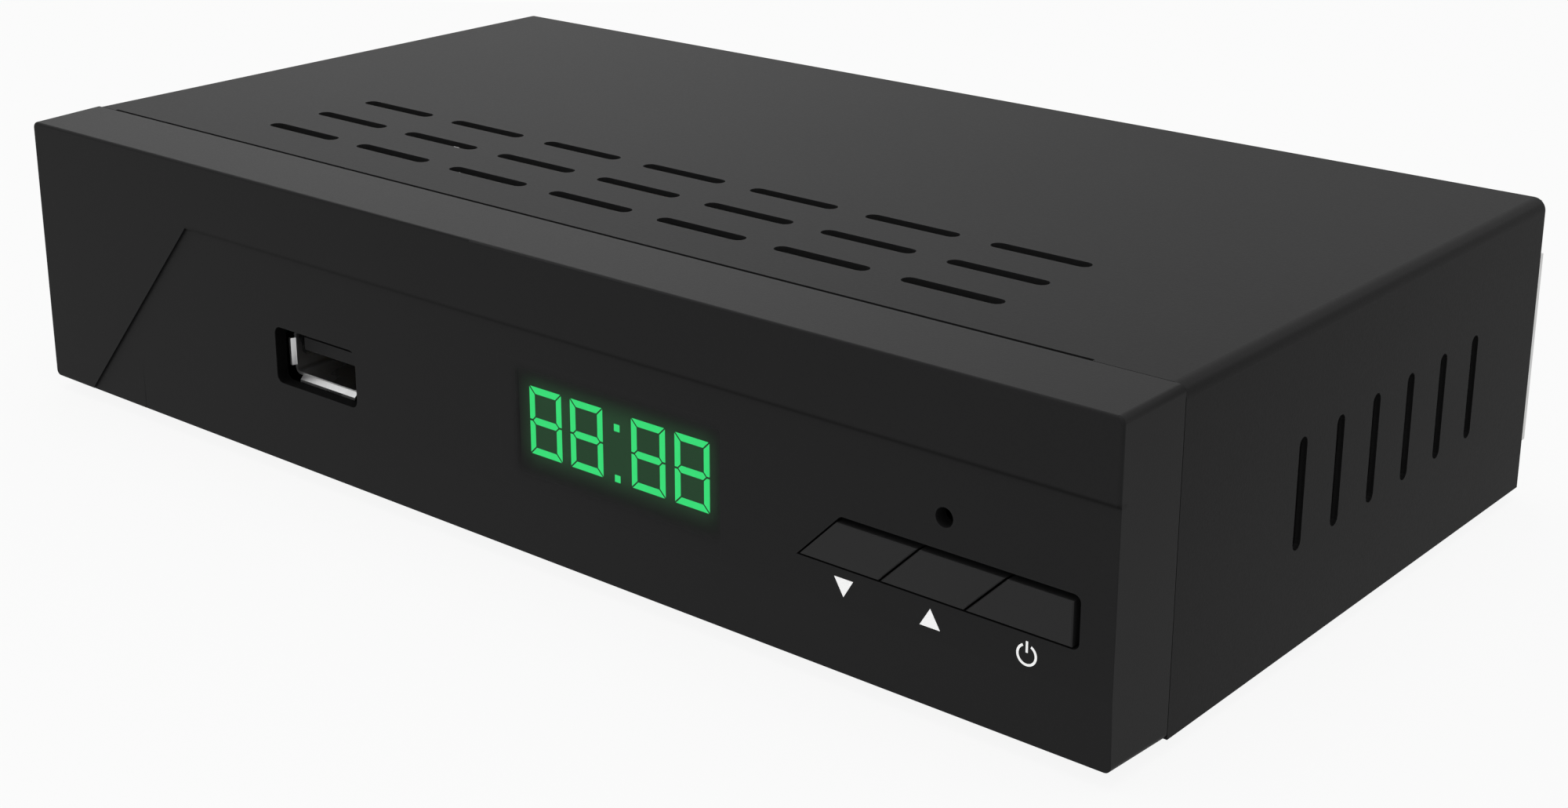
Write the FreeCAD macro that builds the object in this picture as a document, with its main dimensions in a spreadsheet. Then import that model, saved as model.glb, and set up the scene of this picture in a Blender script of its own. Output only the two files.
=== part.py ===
import FreeCAD
import Part
import Sketcher

import math
import os
import re

# Satellite television receiver: a folded sheet case with a moulded front, three push
# buttons, a lit digit module, a main board and the sockets that its back panel holds.
# X runs left to right, Y from front to back and Z up. Sketches count Y from the plane of
# the front and Z from the underside of the case. Lengths are in millimetres.

sizes = {
    # Case
    "case_width": 170.0,
    "case_depth": 92.1,
    "case_height": 36.4,
    "cover_sheet": 0.7,
    "tray_sheet": 0.8,
    "panel_sheet": 0.9,
    "sheet_gap": 0.1,
    "bend_radius": 1.5,

    # Top vents: rows along X, counted from the front
    "vent_length": 12.9,
    "vent_width": 1.9,
    "vent_pitch_x": 17.33,
    "vent_pitch_y": 8.15,
    "vent_first_y": 19.16,
    "vent_first_x": -51.84,

    # Upright slots through both sides
    "slot_width": 1.7,
    "slot_height": 12.5,
    "slot_low": 11.5,
    "slot_pitch": 8.14,
    "slot_first_y": 34.5,

    # Open seam between cover and front
    "seam_width": 0.5,
    "seam_left_in": 4.3,
    "seam_right_in": 10.2,

    # Lips that meet the back panel, and the tray's side walls
    "cover_lip": 7.0,
    "cover_lip_in": 8.0,
    "tray_lip": 6.0,
    "tray_wall_drop": 6.4,
    "tray_end_in": 18.7,
    "tray_front_gap": 0.3,
    "panel_ear_low": 6.0,
    "panel_ear_drop": 6.9,
    "panel_inset": 0.9,
    "panel_top_gap": 0.5,
    "rear_screw_in": 15.0,
    "rear_screw_low": 3.4,
    "rear_screw_drop": 3.8,

    # Moulded front
    "bezel_depth": 10.2,
    "bezel_wall": 2.0,
    "bezel_draft": 1.6,
    "bezel_corner": 0.8,
    "bezel_edge": 0.35,
    "tongue_reach": 3.0,
    "tongue_thick": 1.1,
    "tongue_in": 10.0,
    "hook_width": 8.0,
    "hook_reach": 5.0,
    "hook_thick": 1.2,
    "hook_spread": 62.0,

    # Recessed field of the front
    "field_deep": 0.3,
    "field_drop": 9.0,
    "field_corner_in": 32.4,
    "field_slant": 0.87,
    "crease_height": 7.8,
    "crease_deep": 0.35,
    "crease_fade": 0.0175,

    # Display window and digit module
    "window_width": 33.0,
    "window_height": 15.2,
    "window_thick": 1.0,
    "window_rim": 1.5,
    "display_centre_x": 20.22,
    "display_centre_z": 15.95,
    "display_width": 30.2,
    "display_height": 14.0,
    "display_deep": 6.9,
    "display_gap": 0.1,
    "digit_width": 4.97,
    "digit_height": 8.1,
    "digit_pitch": 6.33,
    "digit_middle": 4.28,
    "stroke_width": 0.82,
    "mitre_gap": 0.12,
    "segment_thick": 0.4,
    "dot_size": 0.85,
    "dot_high": 18.25,
    "dot_low": 12.3,

    # Front board and its pillars
    "front_board_left": 0.5,
    "front_board_in": 3.0,
    "front_board_low": 3.0,
    "front_board_drop": 3.2,
    "board_thick": 1.6,
    "pillar_radius": 2.5,
    "pillar_hole_deep": 4.0,
    "pillar_left_x": 5.0,
    "pillar_right_in": 8.0,
    "pillar_drop": 6.8,
    "pillar_low_x": 43.5,
    "pillar_low": 6.8,
    "screw_fit": 0.05,

    # Buttons
    "button_pitch": 10.3,
    "button_first_in": 25.0,
    "button_slant": 1.0,
    "button_gap": 0.3,
    "button_low": 12.15,
    "button_height": 4.7,
    "button_proud": 0.2,
    "button_edge": 0.12,
    "button_travel": 0.4,
    "mouth_in": 4.1,
    "mouth_side_gap": 0.7,
    "mouth_low_gap": 0.25,
    "mouth_top_gap": 0.7,
    "mouth_radius": 0.8,
    "flange_thick": 0.8,
    "flange_over": 1.0,
    "flange_gap": 0.2,
    "stem_radius": 1.6,
    "plunger_gap": 0.1,

    # Tact switches
    "switch_width": 6.0,
    "switch_deep": 3.5,
    "switch_rise": 4.3,
    "plunger_radius": 1.7,
    "plunger_length": 2.6,
    "plunger_clearance": 0.08,
    "plunger_edge": 0.2,

    # Infrared eye
    "eye_in": 19.75,
    "eye_height": 21.0,
    "eye_hole_radius": 1.05,
    "eye_width": 5.6,
    "eye_tall": 6.6,
    "eye_deep": 3.4,
    "eye_dome": 2.2,
    "eye_dome_edge": 1.2,
    "eye_lift": 0.3,

    # USB socket
    "usb_centre_x": -28.6,
    "usb_centre_z": 14.4,
    "usb_mouth_width": 15.0,
    "usb_mouth_height": 7.3,
    "usb_mouth_radius": 1.0,
    "usb_width": 13.2,
    "usb_height": 5.8,
    "usb_length": 13.6,
    "usb_wall": 0.35,
    "usb_radius": 0.9,
    "usb_front": 2.5,
    "usb_lip_reach": 0.55,
    "usb_lip_flare": 0.7,
    "usb_side_flare": 0.35,
    "usb_lip_width": 10.2,
    "usb_lip_height": 3.5,
    "usb_tongue_width": 10.8,
    "usb_tongue_thick": 1.6,
    "usb_tongue_length": 9.6,
    "usb_tongue_drop": 0.7,
    "usb_root": 3.0,
    "contact_width": 1.0,
    "contact_thick": 0.15,
    "contact_length": 6.5,
    "contact_pitch": 2.2,

    # Main board and its spacers
    "main_board_in": 5.0,
    "main_board_gap": 3.4,
    "main_board_back_gap": 1.7,
    "usb_overhang": 5.0,
    "usb_arm_side": 11.0,
    "spacer_radius": 2.9,
    "spacer_hole": 1.3,
    "spacer_hole_deep": 5.0,
    "spacer_in": 3.6,
    "spacer_front_y": 20.0,
    "spacer_back_in": 21.5,

    # Screws
    "screw_head": 2.8,
    "screw_head_high": 1.8,
    "screw_head_edge": 0.6,
    "screw_shank": 1.2,
    "screw_length": 5.0,
    "screw_hole": 1.5,
    "screw_slot": 0.6,
    "screw_slot_length": 3.0,
    "screw_slot_deep": 0.9,

    # Back sockets: centres across the panel and how far each stands out
    "lnb_in": 27.0,
    "lnb_rise": 8.0,
    "lnb_radius": 4.76,
    "lnb_reach": 11.0,
    "lnb_neck": 4.0,
    "lnb_shoulder": 5.6,
    "lnb_core": 3.2,
    "lnb_core_in": 0.8,
    "lnb_pin_hole": 0.6,
    "lnb_nut_clearance": 0.05,
    "lnb_relief": 0.2,
    "lnb_relief_length": 0.3,
    "lnb_chamfer": 0.4,
    "lnb_nut_across": 12.7,
    "lnb_nut_thick": 2.2,
    "hole_clearance": 0.25,
    "tuner_width": 28.0,
    "tuner_length": 36.0,
    "tuner_height": 14.0,
    "tuner_lid": 2.5,
    "tuner_sheet": 0.3,
    "scart_step": 44.0,
    "scart_width": 47.4,
    "scart_height": 15.4,
    "scart_deep": 17.0,
    "scart_mouth_width": 43.0,
    "scart_mouth_height": 12.0,
    "scart_core_gap": 1.3,
    "scart_groove": 8.0,
    "scart_cut": 4.0,
    "scart_slot_pitch": 3.81,
    "scart_slot_width": 1.5,
    "scart_slot_height": 3.4,
    "scart_slot_row": 2.7,
    "scart_slot_deep": 7.0,
    "scart_blade": 0.8,
    "scart_blade_height": 2.0,
    "scart_blade_in": 1.2,
    "hdmi_step": 18.0,
    "hdmi_width": 15.0,
    "hdmi_height": 5.6,
    "hdmi_length": 11.2,
    "hdmi_wall": 0.35,
    "hdmi_slope": 1.6,
    "hdmi_tongue_width": 11.0,
    "hdmi_tongue_thick": 1.3,
    "hdmi_tongue_in": 1.2,
    "hdmi_tongue_lift": 0.3,
    "hdmi_root": 3.0,
    "socket_proud": 0.5,
    "audio_step": 17.5,
    "audio_rise": 6.2,
    "audio_block": 10.0,
    "audio_block_deep": 11.0,
    "audio_radius": 4.15,
    "audio_reach": 9.0,
    "audio_wall": 0.6,
    "audio_flange": 5.2,
    "audio_flange_proud": 1.0,
    "audio_neck": 0.3,
    "audio_neck_deep": 0.25,
    "audio_core": 3.1,
    "audio_core_in": 1.5,
    "audio_bore": 1.6,
    "audio_bore_deep": 8.0,
    "power_in": 13.0,
    "power_block": 9.0,
    "power_block_high": 11.0,
    "power_block_deep": 14.0,
    "power_rise": 6.5,
    "power_bore": 3.2,
    "power_bore_deep": 9.5,
    "power_pin": 1.0,

    # Parts on the main board
    "chip_size": 21.0,
    "chip_high": 1.6,
    "chip_x": -18.0,
    "chip_y": 44.0,
    "sink_size": 24.0,
    "sink_base": 2.0,
    "sink_high": 8.0,
    "fin_thick": 1.0,
    "fin_pitch": 3.2,
    "memory_width": 10.5,
    "memory_length": 13.3,
    "memory_high": 1.1,
    "memory_x": 8.0,
    "memory_pitch": 16.0,
    "capacitor_radius": 4.0,
    "capacitor_high": 11.5,
    "capacitor_edge": 0.5,
    "coil_in": 30.0,
    "part_pitch": 12.0,
    "coil_size": 7.0,
    "coil_high": 4.2,
    "crystal_length": 11.0,
    "crystal_width": 4.6,
    "crystal_high": 3.6,
    "header_x": 24.0,
    "header_pitch": 2.54,
    "header_width": 2.5,
    "header_in": 1.0,
    "header_pin": 0.64,
    "header_rise": 1.25,

    # Feet
    "foot_height": 1.6,
    "foot_radius": 5.0,
    "foot_in": 17.0,
    "foot_front_y": 20.0,
    "foot_back_in": 12.1,
}

# Places that follow from the sizes, as further lines of the same sheet
places = {
    "tray_wall": "case_height - tray_wall_drop",
    "tray_wall_end": "case_depth - tray_end_in",
    "panel_ear_high": "case_height - panel_ear_drop",
    "rear_screw_x": "case_width / 2 - rear_screw_in",
    "rear_screw_top": "case_height - rear_screw_drop",
    "tongue_width": "case_width - 2 * tongue_in",
    "field_top": "case_height - field_drop",
    "field_corner_x": "field_corner_in - case_width / 2",
    "front_board_right": "case_width / 2 - front_board_in",
    "front_board_high": "case_height - front_board_drop",
    "pillar_right_x": "case_width / 2 - pillar_right_in",
    "pillar_high": "case_height - pillar_drop",
    "button_first_x": "case_width / 2 - button_first_in",
    "button_high": "button_low + button_height",
    "button_face": "field_deep - button_proud",
    "mouth_right": "case_width / 2 - mouth_in",
    "mouth_low": "button_low - mouth_low_gap",
    "mouth_high": "button_low + button_height + mouth_top_gap",
    "button_right": "case_width / 2 - mouth_in - mouth_side_gap",
    "eye_x": "case_width / 2 - eye_in",
    "usb_arm_front": "usb_front + usb_overhang",
    "main_board_half": "case_width / 2 - main_board_in",
    "main_board_front": "bezel_wall + display_gap + display_deep + board_thick + main_board_gap",
    "main_board_back": "case_depth + sheet_gap - main_board_back_gap",
    "spacer_x": "case_width / 2 - main_board_in - spacer_in",
    "spacer_back_y": "case_depth + sheet_gap - main_board_back_gap - spacer_back_in",
    "lnb_x": "case_width / 2 - lnb_in",
    "scart_x": "case_width / 2 - lnb_in - scart_step",
    "power_x": "power_in - case_width / 2",
    "audio_x": "power_in + audio_step - case_width / 2",
    "hdmi_x": "power_in + audio_step + hdmi_step - case_width / 2",
    "coil_y": "case_depth + sheet_gap - main_board_back_gap - coil_in",
    "foot_x": "case_width / 2 - foot_in",
    "foot_back_y": "case_depth - foot_back_in",
}

# How many there are of what repeats, and how many sides small rounds are drawn with
vents_in_row = 7
vent_rows = 3
side_slots = 6
header_pins = 10
scart_slots = 10
usb_contact_count = 4
fin_count = 8
end_sides = 6
head_sides = 12
shank_sides = 8
spacer_sides = 6
can_sides = 20

doc = FreeCAD.newDocument("satellite_receiver")
sheet = doc.addObject("Spreadsheet::Sheet", "Sizes")
lines = list(sizes.items()) + [(word, "=" + formula) for word, formula in places.items()]
for line, (word, entry) in enumerate(lines, start=1):
    sheet.set(f"A{line}", word)
    sheet.set(f"B{line}", str(entry))
    sheet.setAlias(f"B{line}", word)
doc.recompute()

normals = {"XY": "+Z", "XZ": "-Y", "YZ": "+X"}
parts = []

# Places that several pieces share, as formulas on the sheet
origin_y = "(case_depth + sheet_gap + panel_sheet + lnb_reach) / 2"
panel_front = "(case_depth + sheet_gap)"
panel_back = "(case_depth + sheet_gap + panel_sheet)"
board_top = "(usb_centre_z - usb_height / 2)"
board_low = "(usb_centre_z - usb_height / 2 - board_thick)"
display_face = "(bezel_wall + display_gap)"
front_board_y = "(bezel_wall + display_gap + display_deep)"
front_board_back = "(bezel_wall + display_gap + display_deep + board_thick)"
switch_tip = "(bezel_wall + display_gap + display_deep - switch_rise)"
flange_front = "(bezel_wall + flange_gap)"
button_middle = "((button_low + button_high) / 2)"
inner_side = "(case_width / 2 - cover_sheet - sheet_gap)"


def bound(text):
    """Name the sheet before each of its words."""
    return re.sub(r"\b[a-z]+(?:_[a-z]+)+\b", lambda found: "Sizes." + found.group(0), text)


def number(text):
    return float(sheet.evalExpression(bound(text)))


def tie(thing, field, text):
    thing.setExpression(field, bound(text))


def move(thing, x="0", y="0", z="0"):
    tie(thing, "Placement.Base.x", x)
    tie(thing, "Placement.Base.y", y)
    tie(thing, "Placement.Base.z", z)


def keep(thing, label):
    """Stand a finished piece on the part's own origin."""
    thing.Label = label
    parts.append(thing)
    move(thing, "0", f"-{origin_y}", "foot_height")
    return thing


def new_body(name):
    return doc.addObject("PartDesign::Body", name + "_body")


def add_sketch(body, plane, at):
    """Lay a sketch on one of the body's planes, moved along that plane's normal."""
    sketch = body.newObject("Sketcher::SketchObject", body.Name + "_sketch")
    role = plane + "_Plane"
    base = [item for item in body.Origin.OriginFeatures if item.Role == role][0]
    sketch.AttachmentSupport = [(base, "")]
    sketch.MapMode = "FlatFace"
    side = "-" if normals[plane][0] == "-" else ""
    tie(sketch, "AttachmentOffset.Base.z", f"{side}({at})")
    return sketch


def require(sketch, text, *rule):
    """Add a constraint whose size is a formula."""
    row = sketch.addConstraint(Sketcher.Constraint(*rule, number(text)))
    tie(sketch, f"Constraints[{row}]", text)


def outline(body, plane, at, *loops):
    """Draw closed outlines with straight sides through points given as formulas."""
    sketch = add_sketch(body, plane, at)
    lines = []
    rules = []
    formulas = {}
    for points in loops:
        first = len(lines)
        spots = [FreeCAD.Vector(number(a), number(b), 0) for a, b in points]
        for index, (across, up) in enumerate(points):
            here = first + index
            following = (index + 1) % len(points)
            lines.append(Part.LineSegment(spots[index], spots[following]))
            rules.append(Sketcher.Constraint("Coincident", here, 2, first + following, 1))
            formulas[len(rules)] = across
            rules.append(Sketcher.Constraint("DistanceX", -1, 1, here, 1, spots[index].x))
            formulas[len(rules)] = up
            rules.append(Sketcher.Constraint("DistanceY", -1, 1, here, 1, spots[index].y))
    sketch.addGeometry(lines, False)
    sketch.addConstraint(rules)
    for row, text in formulas.items():
        tie(sketch, f"Constraints[{row}]", text)
    return sketch


def polygons(body, plane, at, spots, radius, sides):
    """Draw small rounds that nothing turns in as even polygons inside guide circles."""
    sketch = add_sketch(body, plane, at)
    for across, up in spots:
        middle = FreeCAD.Vector(number(across), number(up), 0)
        size = number(radius)
        turns = [2 * math.pi * step / sides for step in range(sides)]
        tips = [middle + FreeCAD.Vector(math.cos(turn), math.sin(turn), 0) * size for turn in turns]
        guide = sketch.addGeometry(Part.Circle(middle, FreeCAD.Vector(0, 0, 1), size), True)
        first = guide + 1
        lines = [Part.LineSegment(start, end) for start, end in zip(tips, tips[1:] + tips[:1])]
        sketch.addGeometry(lines, False)
        rules = [Sketcher.Constraint("Horizontal", guide, 3, first, 1)]
        for step in range(sides):
            following = first + (step + 1) % sides
            rules.append(Sketcher.Constraint("Coincident", first + step, 2, following, 1))
            rules.append(Sketcher.Constraint("PointOnObject", first + step, 1, guide))
            if step:
                rules.append(Sketcher.Constraint("Equal", first, first + step))
        sketch.addConstraint(rules)
        require(sketch, across, "DistanceX", -1, 1, guide, 3)
        require(sketch, up, "DistanceY", -1, 1, guide, 3)
        require(sketch, radius, "Radius", guide)
    return sketch


def corners(left, right, low, high):
    return [(left, low), (right, low), (right, high), (left, high)]


def around(across, up, width, height):
    """The corners of a rectangle about its centre."""
    return corners(
        f"{across} - ({width}) / 2", f"{across} + ({width}) / 2",
        f"{up} - ({height}) / 2", f"{up} + ({height}) / 2",
    )


def circles(body, plane, at, spots, radius):
    sketch = add_sketch(body, plane, at)
    for index, (across, up) in enumerate(spots):
        centre = FreeCAD.Vector(number(across), number(up), 0)
        sketch.addGeometry(Part.Circle(centre, FreeCAD.Vector(0, 0, 1), number(radius)), False)
        require(sketch, across, "DistanceX", -1, 1, index, 3)
        require(sketch, up, "DistanceY", -1, 1, index, 3)
        require(sketch, radius, "Radius", index)
    return sketch


def slot(across, up, length, width, upright=False):
    """The corners of a slot whose ends are drawn with a few sides each."""
    half_run = f"(({length}) - ({width})) / 2"
    points = []
    for sign, first in (("+", -90), ("-", 90)):
        for step in range(end_sides + 1):
            angle = math.radians(first + 180 * step / end_sides)
            along = f"{sign} {half_run} + ({width}) / 2 * {math.cos(angle):.5f}"
            beside = f"+ ({width}) / 2 * {math.sin(angle):.5f}"
            if upright:
                points.append((f"{across} {beside}", f"{up} {along}"))
            else:
                points.append((f"{across} {along}", f"{up} {beside}"))
    return points


def grow(body, sketch, length, way, taper=None):
    """Pad a sketch towards +X, -Y and so on."""
    pad = body.newObject("PartDesign::Pad", body.Name + "_pad")
    pad.Profile = sketch
    pad.Reversed = way != normals[plane_of(sketch)]
    tie(pad, "Length", length)
    if taper:
        tie(pad, "TaperAngle", taper)
    doc.recompute()
    return pad


def plane_of(sketch):
    return sketch.AttachmentSupport[0][0].Role[:2]


def cut(body, sketch, length, way, taper=None):
    """Pocket a sketch towards +X, -Y and so on, and make sure that it removes something."""
    before = body.Shape.Volume
    pocket = body.newObject("PartDesign::Pocket", body.Name + "_pocket")
    pocket.Profile = sketch
    pocket.Reversed = way == normals[plane_of(sketch)]
    tie(pocket, "Length", length)
    if taper:
        tie(pocket, "TaperAngle", taper)
    doc.recompute()
    if pocket.Shape.Volume > before - 1e-6:
        raise RuntimeError(f"{pocket.Name} removes nothing")
    return pocket


def row_of(body, features, way, step, count):
    """Repeat features in a row along X or Y."""
    pattern = body.newObject("PartDesign::LinearPattern", body.Name + "_pattern")
    pattern.Originals = features
    role = way + "_Axis"
    line = [item for item in body.Origin.OriginFeatures if item.Role == role][0]
    pattern.Direction = (line, [""])
    pattern.Occurrences = count
    tie(pattern, "Length", f"({step}) * {count - 1}")
    body.Tip = pattern
    doc.recompute()
    return pattern


def edges_where(feature, test):
    names = []
    for index, edge in enumerate(feature.Shape.Edges, start=1):
        if test(edge.BoundBox):
            names.append(f"Edge{index}")
    return names


def soften(body, kind, size, test):
    """Fillet or chamfer the edges of the body's tip that pass the test."""
    base = body.Tip
    names = edges_where(base, test)
    if not names:
        raise RuntimeError(f"{body.Name}: no edge to soften")
    dress = body.newObject("PartDesign::" + kind, body.Name + "_" + kind.lower())
    dress.Base = (base, names)
    tie(dress, "Radius" if kind == "Fillet" else "Size", size)
    doc.recompute()
    return dress


def brick(name, x, y, z, length, width, height):
    """A block from its low corner."""
    box = doc.addObject("Part::Box", name)
    tie(box, "Length", length)
    tie(box, "Width", width)
    tie(box, "Height", height)
    move(box, x, y, z)
    return box


def group(name, things):
    """Separate solids that share one name."""
    result = doc.addObject("Part::Compound", name)
    result.Links = things
    return result


def near(value, target, slack=0.01):
    return abs(value - target) < slack


# Sheet cover: an upside-down channel with vents, side slots and a lip at the back
def make_cover():
    body = new_body("top_cover")
    start = "(bezel_depth + sheet_gap)"
    inner = "(case_width / 2 - cover_sheet)"
    profile = [
        ("-case_width / 2", "0"),
        (f"-{inner}", "0"),
        (f"-{inner}", "case_height - cover_sheet"),
        (inner, "case_height - cover_sheet"),
        (inner, "0"),
        ("case_width / 2", "0"),
        ("case_width / 2", "case_height"),
        ("-case_width / 2", "case_height"),
    ]
    grow(body, outline(body, "XZ", start, profile), f"case_depth - {start}", "+Y")
    top = number("case_height")
    half = number("case_width / 2")
    sheet_thick = number("cover_sheet")

    def outer_bend(box):
        return box.YLength > 50 and near(box.ZMin, top) and near(abs(box.XMin), half)

    def inner_bend(box):
        along = box.YLength > 50 and near(box.ZMin, top - sheet_thick)
        return along and near(abs(box.XMin), half - sheet_thick)

    soften(body, "Fillet", "bend_radius", outer_bend)
    soften(body, "Fillet", "bend_radius - cover_sheet", inner_bend)
    lip = outline(body, "XZ", "case_depth - cover_sheet", corners(
        "-case_width / 2 + cover_lip_in", "case_width / 2 - cover_lip_in",
        "case_height - cover_lip", "case_height - cover_sheet / 2",
    ))
    grow(body, lip, "cover_sheet", "+Y")
    seam = outline(body, "XY", "case_height + 1", corners(
        "-case_width / 2 + seam_left_in", "case_width / 2 - seam_right_in",
        f"{start} - 1", f"{start} + seam_width - sheet_gap",
    ))
    cut(body, seam, "cover_sheet + 2", "-Z")
    vents = []
    for row in range(vent_rows):
        place_y = f"vent_first_y + {row} * vent_pitch_y"
        vent = outline(body, "XY", "case_height", slot("vent_first_x", place_y, "vent_length", "vent_width"))
        vents.append(cut(body, vent, "cover_sheet * 2", "-Z"))
    row_of(body, vents, "X", "vent_pitch_x", vents_in_row)
    upright = slot("slot_first_y", "slot_low + slot_height / 2", "slot_height", "slot_width", upright=True)
    side = outline(body, "YZ", "case_width / 2 + cover_sheet", upright)
    opening = cut(body, side, "case_width + cover_sheet * 2", "-X")
    row_of(body, [opening], "Y", "slot_pitch", side_slots)
    spots = [("-rear_screw_x", "rear_screw_top"), ("rear_screw_x", "rear_screw_top")]
    holes = polygons(body, "XZ", "case_depth + 1", spots, "screw_shank + sheet_gap", shank_sides)
    cut(body, holes, "cover_sheet + 2", "-Y")
    return keep(body, "top_cover")


# Tray: floor, side walls that stop short of the last slot, and a lip for the back panel
def make_chassis():
    body = new_body("bottom_chassis")
    start = "(bezel_depth + tray_front_gap)"
    inner = f"({inner_side} - tray_sheet)"
    profile = [
        (f"-{inner_side}", "0"),
        (inner_side, "0"),
        (inner_side, "tray_wall"),
        (inner, "tray_wall"),
        (inner, "tray_sheet"),
        (f"-{inner}", "tray_sheet"),
        (f"-{inner}", "tray_wall"),
        (f"-{inner_side}", "tray_wall"),
    ]
    grow(body, outline(body, "XZ", start, profile), f"tray_wall_end - {start}", "+Y")
    side = number(inner_side)
    thick = number("tray_sheet")

    def outer_bend(box):
        return box.YLength > 50 and near(box.ZMax, 0) and near(abs(box.XMin), side)

    def inner_bend(box):
        along = box.YLength > 50 and near(box.ZMax, thick)
        return along and near(abs(box.XMin), side - thick)

    soften(body, "Fillet", "bend_radius", outer_bend)
    soften(body, "Fillet", "bend_radius - tray_sheet", inner_bend)
    edge = f"({inner_side} - bend_radius)"
    floor = outline(body, "XY", "0", corners(f"-{edge}", edge, "tray_wall_end - 1", "case_depth"))
    grow(body, floor, "tray_sheet", "+Z")
    lip = outline(
        body, "XZ", "case_depth - tray_sheet",
        corners(f"-{edge}", edge, "tray_sheet / 2", "tray_lip"),
    )
    grow(body, lip, "tray_sheet", "+Y")
    spots = [("-rear_screw_x", "rear_screw_low"), ("rear_screw_x", "rear_screw_low")]
    holes = polygons(body, "XZ", "case_depth + 1", spots, "screw_shank + sheet_gap", shank_sides)
    cut(body, holes, "tray_sheet + 2", "-Y")
    return keep(body, "bottom_chassis")


# Back panel: a plate whose ears reach the sides, with a hole for each socket
def make_panel():
    body = new_body("rear_panel")
    edge = "(case_width / 2 - panel_inset)"
    ear = "(case_width / 2 - sheet_gap)"
    top = "(case_height - panel_top_gap)"
    right = [
        (edge, "0"), (edge, "panel_ear_low"), (ear, "panel_ear_low"),
        (ear, "panel_ear_high"), (edge, "panel_ear_high"), (edge, top),
    ]
    left = [("-" + across, up) for across, up in reversed(right)]
    grow(body, outline(body, "XZ", panel_front, right + left), "panel_sheet", "+Y")
    behind = f"{panel_back} + 1"
    through = "panel_sheet + 2"
    barrels = [
        ("lnb_x", "lnb_rise", "lnb_radius - lnb_relief"),
        ("audio_x", "audio_rise", "audio_flange"),
    ]
    for across, rise, radius in barrels:
        spot = [(across, f"{board_top} + {rise}")]
        hole = circles(body, "XZ", behind, spot, f"{radius} + hole_clearance")
        cut(body, hole, through, "-Y")
    blocks = [
        ("scart_x", "scart_width", "scart_height"),
        ("hdmi_x", "hdmi_width", "hdmi_height"),
        ("power_x", "power_block", "power_block_high"),
    ]
    for across, width, height in blocks:
        frame = around(
            across, f"{board_top} + {height} / 2",
            f"{width} + 2 * hole_clearance", f"{height} + 2 * hole_clearance",
        )
        cut(body, outline(body, "XZ", behind, frame), through, "-Y")
    cut(body, polygons(body, "XZ", behind, rear_spots, "screw_hole", shank_sides), through, "-Y")
    return keep(body, "rear_panel")


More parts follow.
